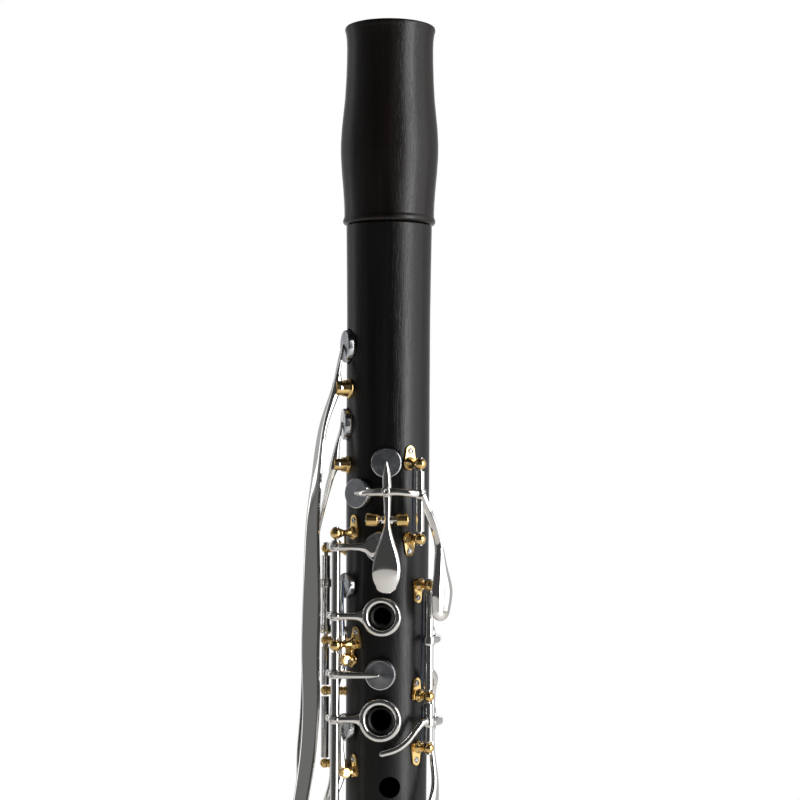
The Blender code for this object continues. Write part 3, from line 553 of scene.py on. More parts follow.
def make_wood():
    bell_outer = [
        (38, 0), (39.3, 0.8), (39.5, 2.6), (38.2, 5), (35.2, 10.5), (32, 17), (28.6, 25.5), (25.4, 36),
        (22.7, 48), (20.6, 61), (19.1, 74), (18.3, 86), (18.1, 93), (18.7, 95.6), (19.2, 98),
        (19.2, 103), (18.7, 105.4), (17.6, 106),
    ]
    bell_inner = [
        (36.2, 0), (35, 1.8), (31.4, 9.5), (27.4, 18.5), (23.4, 30), (19.8, 44), (16.6, 58), (13.6, 72),
        (11.6, 88.7), (13.6, 88.7), (13.6, 106),
    ]
    bell = wall(bell_outer, bell_inner, sides=160)
    bell.save("bell_wood", JOINT_WOOD, "body", "black_wood", ("bell",), sharp=28)
    lower_outer = [
        (12.2, 89), (12.2, 106.3), (15.9, 106.3), (16.1, 107.5), (15.3, 111), (14.2, 115.5), (13.9, 120),
        (13.85, 299), (14.3, 301.5), (15.3, 304.5), (15.5, 307), (15.5, 313), (15, 314),
    ]
    lower_inner = [(10.6, 89), (8.55, 118), (7.35, 165), (7.35, 296.7), (11.5, 296.7), (11.5, 314)]
    make_joint_wood("lower_joint", lower_outer, lower_inner, lambda z: z < LOWER_TOP)
    upper_outer = [(10, 297), (10, 314.3)] + UPPER_WOOD + [(10, 525.7), (10, 543)]
    upper_inner = [(7.35, 297), (7.35, 543)]
    make_joint_wood("upper_joint", upper_outer, upper_inner, lambda z: z > LOWER_TOP)
    barrel_outer = [
        (14.55, 526), (15.25, 526.5), (15.38, 527.2), (15.2, 527.9), (14.92, 528.5), (14.9, 530), (15, 533),
        (15.35, 538), (15.85, 543.5), (16.2, 549), (16.22, 553), (15.95, 558), (15.45, 563),
        (14.95, 568), (14.6, 574), (14.4, 580), (14.35, 584.5), (14.45, 587.5), (14.75, 589.8),
        (15.1, 591), (14.9, 591.8), (14.3, 592),
    ]
    barrel_inner = [
        (11.5, 526), (11.5, 544), (7.45, 544), (7.55, 574), (11.2, 574), (11.2, 591.4), (11.8, 592),
    ]
    barrel = wall(barrel_outer, barrel_inner, sides=160, edge=0.25)
    barrel.save("barrel_wood", BARREL_WOOD, "barrel", "dark_wood", ("barrel",), sharp=40)
    make_chimneys()
    for name in ("bell_cork", "middle_cork", "barrel_cork"):
        slots = frame["nodes"][name].data.materials
        slots.clear()
        slots.append(CORK)


# ---- posts

def body_post(gold, line, z, ball_r=1.95, foot=2.25):
    """A turned post with a beaded foot, a waisted stem and a ball."""
    reach, deg = line
    base = wood_r(z) - 0.3
    neck = reach - base - 0.75 * ball_r
    profile = [
        (0, 0), (foot, 0), (foot, 1.1), (0.78 * foot, 1.5), (1.45, 2.1), (1, 0.62 * neck), (1, 0.8 * neck),
        (1.4, 0.92 * neck), (1.4, neck + 0.25), (0, neck + 0.3),
    ]
    gold.turned(softened(profile, 0.3, 2), place(base, deg, z), radial(deg), 28)
    gold.ball(place(reach, deg, z), UP, ball_r)


def foot_plate(gold, silver, deg, z, way):
    """A plate let on to the wood beside a post, up (way 1) or down (-1), with its screw."""
    length, width, thick = 4.3, 3.3, 0.75
    count, half = 14, width / 2
    outline = []
    for k in range(count + 1):
        turn = math.pi * k / count
        outline.append((half * math.cos(turn), length + half * math.sin(turn) * 0.95))
    outline += [(-2.15, 0.6), (-2.15, -1.2), (2.15, -1.2), (2.15, 0.6)]
    rings = []
    for lift, shrink in ((-0.3, 0), (thick - 0.15, 0), (thick, 0.15)):
        ring = []
        for x, y in outline:
            x -= math.copysign(shrink, x)
            level = z + way * y
            r = wood_r(level) + lift
            ring.append(place(r, deg + math.degrees(x / r), level))
        rings.append(ring if way > 0 else ring[::-1])
    gold.rings(rings)
    level = z + way * (length - 0.2)
    screw(silver, place(wood_r(level) + thick - 0.1, deg, level), radial(deg))


def screw(silver, spot, axis, radius=1.05):
    """A screw with a dished head."""
    head = [(0, -0.4), (radius, -0.4), (radius, 0.05), (radius * 0.7, 0.28), (0.62, 0.33), (0.52, 0.2), (0, 0.12)]
    silver.turned(softened(head, 0.08, 2), spot, axis, 24)


def strap(gold, spots):
    """A foot strap let on to the lower joint's wood, through (deg, z) spots."""
    gold.bar([(14.25, deg, z, 3.8, 0.9) for deg, z in spots], square=0.5)


def rod_ends(silver, line, heights):
    """The slotted head of the hinge rod in the outer post, and the rod itself."""
    low, high = min(heights), max(heights)
    silver.rod(place(*line, low - 1.2), place(*line, high + 1.2), 0.7, edge=0.1, sides=16)
    for z, way in ((high + 1.75, 1), (low - 1.75, -1)):
        profile = [(0, -0.5), (0.95, -0.5), (0.95, 0.25), (0.3, 0.38), (0.25, 0.1), (0, 0.1)]
        silver.turned(profile, place(*line, z), UP * way, 20)


def spring(blued, line, low, high, side):
    """A needle spring beside a hinge tube, from one post towards a cradle on the tube."""
    reach, deg = line
    start = place(reach - 1.9, deg + side * 4.6, low)
    end = place(reach - 1.5, deg + side * 5, high)
    blued.rod(start, end, 0.28, edge=0.05, sides=10)


def post_group(name, lines, plates=(), springs=(), straps=(), extra=None, ball_r=1.95):
    """The posts along one or more hinge lines, as gold posts, plates and steel rods.

    lines are ((r, deg), heights), with a ball radius of their own if it differs. straps are the (deg, z)
    spots of a foot strap, and extra draws more on the gold and the silver.
    """
    gold, silver, blued = Piece(), Piece(), Piece()
    for line, heights, *own_r in lines:
        for z in heights:
            body_post(gold, line, z, *(own_r or (ball_r,)))
        rod_ends(silver, line, heights)
    for deg, z, way in plates:
        foot_plate(gold, silver, deg, z, way)
    for line, low, high, side in springs:
        spring(blued, line, low, high, side)
    if straps:
        strap(gold, straps)
    if extra:
        extra(gold, silver)
    gold.save(name + "_gold", GOLD, "body", "gold_plate", (name,))
    silver.save(name + "_rods", STEEL, "body", "silver_plate")
    if springs:
        blued.save(name + "_springs", BLUED, "body", "silver_plate")


def cross_rod(silver, pivot, half):
    """The screw across the bore that a rocking key turns on."""
    middle, across = place(*pivot), radial(pivot[1] + 90)
    silver.rod(middle - across * half, middle + across * half, 0.7, edge=0.05, sides=16)


def cross_posts(gold, silver, pivot, half_gap, head, head_r):
    """Two posts with barrel heads, and the screw across the bore between them."""
    reach, deg, z = pivot
    across = radial(deg + 90)
    middle = place(*pivot)
    cross_rod(silver, pivot, half_gap + head - 0.3)
    for side in (-1, 1):
        start = middle + across * side * half_gap
        profile = [(0, 0), (head_r * 0.92, 0), (head_r, 0.3), (head_r, head - 0.3), (head_r * 0.9, head), (0, head)]
        gold.turned(softened(profile, 0.2, 2), start, across * side, 32)
        silver.turned(
            [(0, 0), (0.95, 0), (0.95, 0.25), (0.2, 0.3), (0, 0.12)], start + across * side * (head - 0.02),
            across * side, 20,
        )
        offset = half_gap + head / 2
        lean = math.degrees(math.atan2(offset, reach))
        base = wood_r(z) - 0.3
        length = math.hypot(offset, reach) - base
        foot = [(0, 0), (1.75, 0), (1.75, 0.9), (1.2, 1.5), (1.05, length), (0, length)]
        gold.turned(softened(foot, 0.25, 2), place(base, deg + side * lean, z), radial(deg + side * lean), 24)


def small_cross_posts(pivot):
    """For post_group's extra: the small pair that a rocking key is hung between."""
    return lambda gold, silver: cross_posts(gold, silver, pivot, 2, 2, 1.7)


def saddle(name, pivot, radius):
    """A round post, slotted for a lever, with the screw that the lever rocks on."""
    reach, deg, z = pivot
    base = wood_r(z) - 0.3
    top = reach + 1.4
    across = radial(deg + 90)
    gold, silver = Piece(), Piece()
    outline = [
        (0, 0), (radius + 0.5, 0), (radius + 0.5, 0.8), (radius, 1.3), (radius, top - base - 0.2),
        (radius - 0.2, top - base), (0, top - base),
    ]
    gold.turned(softened(outline, 0.2, 2), place(base, deg, z), radial(deg), 40)
    obj = gold.bare(name + "_trunk")
    width, floor = 2.9, reach - 1.9
    centre = place((floor + top + 2) / 2, deg, z)
    block = Piece()
    rings = []
    for v in (-6, 6):
        rings.append([
            centre + across * u * width / 2 + radial(deg) * w * (top + 2 - floor) / 2 + UP * v
            for u, w in ((-1, -1), (1, -1), (1, 1), (-1, 1))
        ])
    block.rings(rings)
    drilled(obj, [block.bare("cutter")])
    dress(obj, GOLD, "body", (name,))
    cross_rod(silver, pivot, radius + 0.1)
    silver.save(name + "_screws", STEEL, "body", "silver_plate")


# ---- key parts

def cup(body, opened=0):
    """A pad cup with a rolled rim and a spun top, and the pad inside it."""
    name = body.removesuffix("_key")
    deg, z, radius, seat, _ = CUPS[body]
    roof = seat + PAD_THICK + 0.6
    top = seat + CUP_TOP
    hollow = radius - 0.6
    outer = [
        (0, roof), (hollow, roof), (hollow, seat + 0.9), (radius - 0.1, seat + 0.9), (radius, seat + 1.05),
        (radius, top - 0.5), (radius - 0.16, top - 0.12), (radius - 0.5, top), (radius - 0.75, top - 0.03),
        (0.6, top + 0.13), (0, top + 0.13),
    ]
    shell = Piece().turned(softened(outer, 0.08, 2), Vector(), UP, 72)
    size = hollow - 0.12
    low = seat + 0.3
    disc = [
        (0, low + 0.12), (size * 0.35, low + 0.1), (size - 0.5, low), (size - 0.12, low + 0.12),
        (size, low + 0.4), (size, low + PAD_THICK), (0, low + PAD_THICK),
    ]
    pad = Piece().turned(softened(disc, 0.1, 2), Vector(), UP, 48)
    place_it = Matrix.Translation(Vector((0, 0, z * MM)))
    turn = UP.rotation_difference(radial(deg)).to_matrix().to_4x4()
    centre = place(*hinge(body)[:2], 0) * MM
    swing = Matrix.Rotation(math.radians(opened), 4, "Z")
    rest = Matrix.Translation(centre) @ swing @ Matrix.Translation(-centre)
    for piece, end, material, slot, replaced in (
        (shell, "_cup", SPUN_PAINTED_REFLECTION, "silver_plate", ()), (pad, "_pad_skin", PAD, "pad_skin", (name + "_pad",)),
    ):
        obj = piece.bare(name + end)
        obj.matrix_world = rest @ place_it @ turn
        bpy.context.view_layer.update()
        pads = [n for n in replaced if n in frame["nodes"]]
        dress(obj, material, body, pads, sharp=24)


def key_ring(metal, spec):
    """A finger ring with a rounded top and a bevelled inner edge."""
    deg, z, outer, inner, _ = spec
    profile = [
        (inner, RING_LOW + 0.1), (inner, RING_HIGH - 0.75), (inner + 0.5, RING_HIGH - 0.12),
        ((inner + outer) / 2, RING_HIGH + 0.05),
        (outer - 0.35, RING_HIGH - 0.2), (outer, RING_HIGH - 0.75), (outer - 0.05, RING_LOW + 0.1),
    ]
    metal.turned(softened(profile, 0.25, 3), Vector((0, 0, z)), radial(deg), 72, closed=True)


def tube_wall(bore, end_r, length):
    """A tube's section as (radius, height), with eased ends."""
    return [(bore, 0), (end_r, 0), (TUBE_R, 0.12), (TUBE_R, length - 0.12), (end_r, length), (bore, length)]


def tube(metal, line, low, high, collars=()):
    """A hinge tube with a bore, and thin collars where arms are brazed on."""
    metal.turned(tube_wall(0.9, TUBE_R - 0.12, high - low), place(*line, low), UP, 32, closed=True)
    for z in collars:
        collar = [(1.3, -1.5), (1.72, -1.5), (1.95, -1), (1.95, 1), (1.72, 1.5), (1.3, 1.5)]
        metal.turned(softened(collar, 0.2, 2), place(*line, z), UP, 32, closed=True)


def hinged_key(body, span, bars, collars=(), opened=0, rings=()):
    """A key on a tube along the bore: bars are (stations, options)."""
    reach, deg, _ = hinge(body)
    line = (reach, deg)
    metal = Piece()
    tube(metal, line, *span, collars)
    for stations, options in bars:
        metal.bar(stations, **options)
    for spec in rings:
        key_ring(metal, spec)
    if opened:
        metal.swing(line, opened)
    metal.save(body + "_metal", SILVER, body, "silver_plate", (body,))
    if body in CUPS:
        cup(body, opened)


def rocking_key(body, bars, half=1.4):
    """A key that rocks on a screw across the bore."""
    pivot = hinge(body)
    across = radial(pivot[1] + 90)
    middle = place(*pivot)
    metal = Piece()
    metal.turned(tube_wall(0.8, TUBE_R - 0.1, 2 * half), middle - across * half, across, 32, closed=True)
    for stations, options in bars:
        metal.bar(stations, **options)
    metal.save(body + "_metal", SILVER, body, "silver_plate", (body,))
    cup(body)


ARM = {"square": 0.95, "tips": (0.3, 0.5)}
RING_ARM = {"square": 0.95, "tips": (0.3, 0.06)}
FLAT = {"square": 0.55}
TOUCH = {"square": 0.7, "tips": (0.4, 0.45), "crown": 0.35}


def cup_arm(line, body, deg_end, tip_width, bow=0.4, z=None):
    """An arm from a hinge tube to the middle of a cup, ending in a point."""
    reach, deg = line
    z = z or CUPS[body][1]
    top = CUPS[body][3] + CUP_TOP
    far = deg + (deg_end - deg) * 0.42
    return [
        (reach - 0.2, deg, z, 2.6, 2.4), (reach - 0.3 + bow, deg + (deg_end - deg) * 0.16, z, 2.5, 2.1),
        ((reach + top) / 2 + bow + 0.2, far, z, 2.3, 1.8), (top + 0.75, deg + (deg_end - deg) * 0.72, z, 2, 1.5),
        (top + 0.35, deg_end, z, tip_width, 0.9),
    ]


def hook(line, z):
    """The rounded end of an arm, which wraps round the far side of its tube."""
    reach, deg = line
    return [
        (reach + 0.7, deg - 9, z, 2.2, 2), (reach + 1, deg - 3, z, 2.4, 2.2), (reach + 0.6, deg + 4, z, 2.4, 2.2),
    ]


def ring_arm(line, ring):
    """An arm from a hinge tube that flares into a finger ring."""
    reach, deg = line
    ring_deg, z, outer, _, _ = ring
    edge = ring_deg + math.copysign(math.degrees((outer - 0.5) / 15.4), deg - ring_deg)
    span = edge - deg
    return [
        (reach - 0.2, deg, z, 2.5, 2.4), (reach - 0.1, deg + span * 0.22, z, 2.3, 2),
        (18.6, deg + span * 0.5, z, 2.2, 1.7),
        (16.6, deg + span * 0.78, z, 2.8, 1.4), (15.6, deg + span * 0.99, z, 5.2, 1),
    ]


# ---- upper joint keys

def make_throat_a():
    reach, deg, z = hinge("throat_a_key")
    lever = [
        (19.2, deg - 0.6, 407.6, 6.6, 1.2), (19.9, deg - 0.6, 410.2, 8.6, 1.5), (20.3, deg - 0.5, 413.8, 9, 1.7),
        (20.4, deg - 0.4, 418.2, 7.3, 1.9), (20.1, deg - 0.2, 422.6, 4.6, 2), (19.3, deg, 426.2, 2.7, 2.3),
        (reach + 0.2, deg, z, 2.3, 2.7), (18.1, deg, 434, 2.5, 2.3), (17.6, deg - 0.4, 439.5, 3, 2),
        (16.9, deg - 1, 443.5, 2.6, 1.6), (16.4, deg - 1.4, 447.4, 0.7, 0.8),
    ]
    rocking_key("throat_a_key", [(lever, {"square": 0.8, "tips": (0.36, 0.5), "crown": 0.3})], half=1.9)
    post_group("throat_a_posts", [], extra=lambda g, s: cross_posts(g, s, (reach, deg, z), 3.1, 3.75, 2.15))


def make_throat_gsharp():
    reach, deg, _ = hinge("throat_gsharp_key")
    arm = [
        (reach, deg, 437.2, 2.9, 2.6), (21.9, 20, 437.5, 2.5, 2.1), (21.7, 8, 437.9, 2.4, 2),
        (21.1, -3, 437.8, 2.6, 2),
        (20, -15, 437.6, 2.4, 1.9), (18, -28, 437.3, 1.9, 1.5), (16.4, -40, 437.2, 0.8, 0.8),
    ]
    touch = [
        (reach + 0.4, deg + 1, 436.6, 2.6, 2.3), (22, 34, 433.5, 2.4, 1.9), (23.2, 40, 427, 2.6, 1.7),
        (23.6, 44.5, 420.5, 2.8, 1.6, 42), (24, 46, 413, 5.6, 1.6, 40), (24.1, 47.5, 406, 8.2, 1.6, 36),
        (23.6, 47.5, 399.5, 7, 1.5, 36),
    ]
    hinged_key(
        "throat_gsharp_key", (425.1, 444.6), [(arm, ARM), (touch, {**TOUCH, "crown": 0.9})], collars=(437.2,),
    )
    knob = Piece()
    head = [(0, -1.4), (1.35, -1.4), (1.35, 0.9), (1.1, 1.15), (0.5, 1.15), (0.45, 0.7), (0, 0.7)]
    knob.turned(softened(head, 0.15, 2), place(21.6, -1.3, 438.2), radial(-1.3), 28)
    knob.save("adjusting_screw", SILVER, "throat_gsharp_key", "silver_plate")
    post_group("gsharp_posts", [((reach, deg), (446.9, 422.7))], plates=((deg + 1, 446.9, 1), (deg + 1, 422.7, -1)),
               springs=(((reach, deg), 424.5, 445.5, -1),))


def make_upper_stack():
    reach, deg, _ = hinge("first_ring_key")
    line = (reach, deg)
    open_first = standing_open("first_ring_key")
    vent = [
        (reach - 0.2, deg, 420, 2.6, 2.4), (20.7, -42, 420, 2.4, 2.1), (18.9, -32, 420, 2.2, 1.7),
        (17.2, -24, 420, 3.4, 1.3),
        (16.4, -17, 420, 6.6, 0.9),
    ]
    first = RINGS["first_ring_key"]
    bars = [(vent, ARM), (ring_arm(line, first[0]), RING_ARM), (hook(line, 420), ARM), (hook(line, 397.6), ARM)]
    hinged_key("first_ring_key", (390.5, 422), bars, collars=(420, 397.6), opened=open_first, rings=first)
    open_second = standing_open("second_ring_key")
    second = RINGS["second_ring_key"]
    bridge = [
        (reach, deg, 331.5, 2.6, 2.4), (20.9, -44, 330, 3, 1.8), (20.5, -38.5, 322, 4, 1.6),
        (20.4, -38, 311, 4.2, 1.4),
    ]
    bars = [
        (cup_arm(line, "second_ring_key", -8.5, 0.8, z=378.9), ARM),
        (ring_arm(line, second[0]), RING_ARM), (bridge, FLAT), (hook(line, 378.9), ARM), (hook(line, 364.4), ARM),
    ]
    hinged_key("second_ring_key", (328.4, 385.7), bars, collars=(378.9, 364.4), opened=open_second, rings=second)
    thumb_line = hinge("thumb_ring_key")[:2]
    open_thumb = standing_open("thumb_ring_key", 0)
    thumb = RINGS["thumb_ring_key"]
    arm = [
        (20.5, -100, 407, 2.6, 2.4), (21.2, -114, 407, 2.4, 2.1), (20, -132, 407, 2.3, 1.8),
        (17.4, -147, 407, 3, 1.5),
        (15.6, -158, 407, 5.2, 1),
    ]
    vent = cup_arm(thumb_line, "thumb_ring_key", -140, 0.8)
    hinged_key(
        "thumb_ring_key", (390.5, 416.2), [(arm, RING_ARM), (vent, ARM)], collars=(407, 391.9), opened=open_thumb,
        rings=thumb,
    )
    pivot = hinge("side_key_2")

    def straps(gold, silver):
        cross_posts(gold, silver, pivot, 2, 2, 1.7)
        gold.bar(
            [(14.2, -49, 388.1, 3.6, 0.9), (14.2, -75, 388.1, 3.6, 0.9), (14.2, -103, 388.1, 3.6, 0.9)], square=0.5,
        )
        for deg in (-54, -69):
            gold.bar([(14.1, deg, 388, 3, 0.8), (14.1, deg - 0.5, 382, 3, 0.8)], square=0.5)
        for z in (371.5, 347.5):
            body_post(gold, thumb_line, z, 1.6, foot=1.5)
        silver.rod(place(*thumb_line, 349.4), place(*thumb_line, 369.6), 1.3, edge=0.1)
        silver.rod(place(*thumb_line, 373.4), place(*thumb_line, 386), 1.3, edge=0.1)

    post_group(
        "upper_stack_posts", [(line, (424.3, 388.1, 326)), (thumb_line, (418.5, 388.1), 1.6)],
        plates=((-50, 424.3, 1), (-46, 388.1, 1), (-50, 326, 1), (-100, 418.5, 1)),
        springs=((line, 391, 409, 1),), extra=straps,
    )


def make_right_keys():
    line = hinge("csharp_key")[:2]
    touch = [
        (*line, 380, 2.4, 2.4), (17.4, 63, 377, 2.6, 1.8), (15.8, 72, 371, 2.4, 1.2), (15.6, 72, 356, 2.4, 1.2),
        (16.2, 70, 350, 2.6, 1.5), (18, 62, 343, 3.4, 1.6), (19.4, 51, 336, 5.6, 1.6), (19.6, 44, 330, 6, 1.4),
    ]
    arm = [
        (*line, 389.6, 2.4, 2.4), (17.9, 64, 389.6, 2.3, 1.9), (17.3, 84, 389.6, 2.1, 1.5),
        (16.5, 116, 389.6, 0.9, 0.9),
    ]
    hinged_key("csharp_key", (373.9, 405.2), [(arm, ARM), (touch, TOUCH)], collars=(389.6,))
    sliver = hinge("eflat_key")[:2]
    touch = [
        (*sliver, 363.6, 2.5, 2.4), (18.4, 40, 363.6, 2.3, 2.2), (18, 33, 361.6, 2.2, 2.2),
        (17.4, 24, 358.2, 2.2, 2.2),
        (17, 12, 355.4, 2.2, 2.2), (16.9, -4, 353.8, 2, 1.8),
    ]
    arm = [
        (*sliver, 363, 2.4, 2.2), (18.7, 64, 363, 2.2, 1.4), (18.4, 78, 363, 2.2, 1.3), (16.5, 97.5, 363, 0.8, 0.9),
    ]
    hinged_key("eflat_key", (357.2, 369.4), [(arm, ARM), (touch, ARM)], collars=(363.3,))
    post_group(
        "right_posts", [(line, (407.5, 371.6, 355))],
        plates=((46, 407.5, -1), (45, 371.6, 1), (45, 355, -1)),
        springs=((sliver, 356.5, 368.5, -1), (line, 375.5, 405.5, -1)), ball_r=1.8,
    )


def make_side_keys():
    """The four trill keys. The longest lever, side_key_4's, turns its flat face towards the front."""
    tops = [CUPS[f"side_key_{i}"][3] + CUP_TOP + 0.3 for i in (1, 2, 3, 4)]
    levers = (
    [
        (tops[0], -62, 361.2, 0.8, 0.8), (16.9, -62, 355, 2.4, 1.6), (16.6, -62, 346.7, 2.6, 2.8),
        (18.6, -63, 340, 3, 1.8),
        (21.4, -65, 334, 4, 1.6), (23.2, -67, 327, 6, 1.5), (23.6, -67, 317, 5.6, 1.4),
    ],
    [
        (tops[1], -62, 407.2, 0.8, 0.8), (17, -62, 399, 2.4, 1.6), (16.6, -62, 383, 2.6, 2.8),
        (17.4, -67, 376, 2.8, 1.6),
        (18, -80, 366, 3, 1.5), (18, -84, 355, 3, 1.4), (18.2, -85, 343, 3.2, 1.4), (20.6, -90, 334, 6, 1.4),
        (22.6, -87, 326, 6.4, 1.4), (22.8, -86, 317, 5.8, 1.4),
    ],
    [
        (tops[2], -79, 460, 0.9, 0.7), (16.2, -78, 457, 3.4, 0.9), (17.3, -76, 452.5, 3, 1.5),
        (18.5, -71, 446.5, 2.6, 2.8),
        (19.4, -73, 442.5, 2.4, 1.8), (20.4, -80, 437, 4, 1.5), (23, -89, 424, 4.4, 1.4), (25.4, -92, 410, 5, 1.4),
        (27, -92, 390, 5, 1.4), (27.8, -92, 366, 5.4, 1.4), (28.8, -93, 352, 6.4, 1.4), (28.8, -93, 339, 5.8, 1.4),
    ],
    [
        (tops[3], -73, 485.6, 0.9, 0.7), (16.3, -73, 482.8, 3.6, 0.9), (17.5, -71, 477, 3, 1.4),
        (18.5, -67, 471.5, 2.6, 2.8),
        (22.5, -72, 458, 4.4, 1.5, -62), (24.2, -75, 441, 5.6, 1.4, -55), (25.3, -76, 425, 6.6, 1.4, -47),
        (25.4, -76, 402, 8, 1.4, -42), (25.7, -76, 385, 8, 1.4, -42), (25.3, -77, 368, 7.6, 1.4, -42),
        (26, -79, 353, 7.2, 1.4, -44), (28, -80, 338, 6.8, 1.4, -46), (29.4, -80, 331.5, 6.2, 1.4, -46),
    ],
    )
    for i, stations in enumerate(levers):
        rocking_key(f"side_key_{i + 1}", [(stations, FLAT)], half=1.35)
    saddle("side_key_3_post", hinge("side_key_3"), 2.4)
    saddle("side_key_4_post", hinge("side_key_4"), 2.75)
    pivot = hinge("side_key_1")
    post_group("side_key_1_posts", [], plates=((-51, 346.7, 1),), extra=small_cross_posts(pivot))


def make_register():
    pivot = hinge("register_key")
    lever = [
        (18.1, 180, 419.8, 5.4, 1.3), (18.9, 180, 423, 7.2, 1.6), (19.8, 180, 430, 6.4, 1.8),
        (19.7, 180, 440, 3.2, 2.2),
        (18.8, 180, 450, 2.8, 2.9), (19.4, 180, 468, 2.6, 2.2), (18.4, 180, 492, 2.4, 2),
        (16.7, 180, 505.4, 0.9, 0.9),
    ]
    rocking_key("register_key", [(lever, TOUCH)])
    post_group("register_posts", [], plates=((192, 450, 1), (168, 450, 1)),
               extra=small_cross_posts(pivot))


# ---- lower joint keys

def make_lower_stack():
    line = hinge("lower_ring_key")[:2]
    opened = standing_open("lower_ring_key")
    rings = RINGS["lower_ring_key"]
    bars = [(ring_arm(line, ring), RING_ARM) for ring in rings]
    bars.append((cup_arm(line, "lower_ring_key", -24.5, 0.8), ARM))
    bridge = [
        (*line, 291.5, 2.6, 2.4), (23.2, -43, 294.5, 3, 1.7), (23.1, -38.5, 303, 4, 1.6),
        (22.7, -38, 315, 4.2, 1.4),
    ]
    bars.append((bridge, FLAT))
    collars = [ring[1] for ring in rings] + [278]
    hinged_key("lower_ring_key", (230.4, 294.7), bars, collars=collars, opened=opened, rings=rings)
    aflat = hinge("aflat_key")[:2]
    arm = cup_arm(aflat, "aflat_key", 5, 0.9, bow=0.6)
    touch = [
        (19.5, -30, 217.5, 4.2, 2.3), (21, -37, 217.5, 8, 1.8), (21.8, -43, 217.5, 9.4, 1.7),
        (22.2, -48, 217.5, 8.4, 1.6),
    ]
    hinged_key("aflat_key", (196.4, 221.6), [(arm, ARM), (touch, TOUCH)], collars=(200,))

    post_group(
        "lower_stack_posts", [(line, (297, 228.1)), (aflat, (223.9, 194.1))],
        plates=((-46, 297, -1), (-30, 194.1, -1)),
        springs=((line, 232, 262, 1),), straps=((-56, 228.1), (-46, 227.8), (-36, 225), (-27, 224)),
    )
    sliver = hinge("lower_sliver_key")[:2]
    touch = [
        (*sliver, 254, 2.5, 2.4), (18.4, 40, 254, 2.3, 2.2), (17.6, 30, 254, 2.2, 2.2), (17, 15, 254, 2.2, 2.2),
        (16.8, -6.5, 254, 2.2, 2),
    ]
    arm = cup_arm(sliver, "lower_sliver_key", 91, 0.8, bow=0.2)
    hinged_key("lower_sliver_key", (248.4, 259.6), [(arm, ARM), (touch, ARM)], collars=(254,))
    post_group("lower_sliver_posts", [(sliver, (261.8, 246.2))], plates=((45, 261.8, 1), (45, 246.2, -1)),
               springs=((sliver, 248, 259, -1),), ball_r=1.8)


def tail(*spots):
    """The arm that a left-hand lever presses, through four (deg, z) spots."""
    shape = ((19.5, 2.6, 2.4), (20.6, 2.4, 1.8), (20.6, 2.4, 1.6), (20.6, 2.4, 1.5))
    return [(r, deg, z, width, thick) for (deg, z), (r, width, thick) in zip(spots, shape)]


def make_pinky_keys():
    opened = standing_open("fsharp_key")
    fsharp, f, e = (hinge(name)[:2] for name in ("fsharp_key", "f_key", "e_key"))
    touch = [
        (19.5, -92, 217.5, 4.2, 2.3), (21.4, -84, 217.5, 7.6, 1.8), (22.2, -78, 217.5, 9.4, 1.7),
        (22.4, -73, 217.5, 8.6, 1.6),
    ]
    bars = [
        (cup_arm(fsharp, "fsharp_key", -59, 0.9, bow=0.8), ARM), (touch, TOUCH),
        (tail((-92, 222.2), (-110, 223), (-130, 224), (-149, 224)), ARM),
    ]
    hinged_key("fsharp_key", (176.4, 224.2), bars, collars=(180,), opened=opened)
    touch = [
        (19.5, -114, 205, 3.2, 2.4), (22.6, -104, 205, 3.2, 1.9), (23.2, -90, 205, 5.6, 1.8),
        (23.4, -80, 205, 9.4, 1.7),
        (23.2, -69, 205, 8.8, 1.6),
    ]
    bars = [
        (cup_arm(f, "f_key", -73, 0.9, bow=1), ARM), (touch, TOUCH),
        (tail((-114, 210), (-132, 210), (-155, 210), (-174, 210)), ARM),
    ]
    hinged_key("f_key", (148.4, 211.6), bars, collars=(155,), opened=opened)
    touch = [
        (19.5, -136, 195, 3.2, 2.4), (22.4, -124, 195, 3, 1.9), (23.2, -104, 195, 3, 1.8),
        (23.4, -68, 195.3, 3.2, 1.8),
        (23.2, -55, 198, 5.2, 1.7), (22.9, -48, 203.5, 7.8, 1.6), (22.7, -48, 207.5, 7, 1.5),
    ]
    bars = [
        (cup_arm(e, "e_key", -96, 0.9, bow=1), ARM), (touch, TOUCH),
        (tail((-136, 200), (-154, 200), (-178, 200), (-199, 200)), ARM),
    ]
    hinged_key("e_key", (124.4, 201.6), bars, collars=(131,), opened=opened)

    post_group(
        "pinky_posts", [(fsharp, (226.5, 174.1)), (f, (213.9, 146.1)), (e, (203.9, 122.1))],
        plates=((-92, 174.1, -1), (-114, 146.1, -1), (-136, 122.1, 1)),
        springs=((fsharp, 182, 205, -1), (f, 160, 190, -1), (e, 140, 170, -1)),
        straps=((-90, 227.5), (-96, 223), (-110, 215), (-124, 210), (-138, 203)),
    )


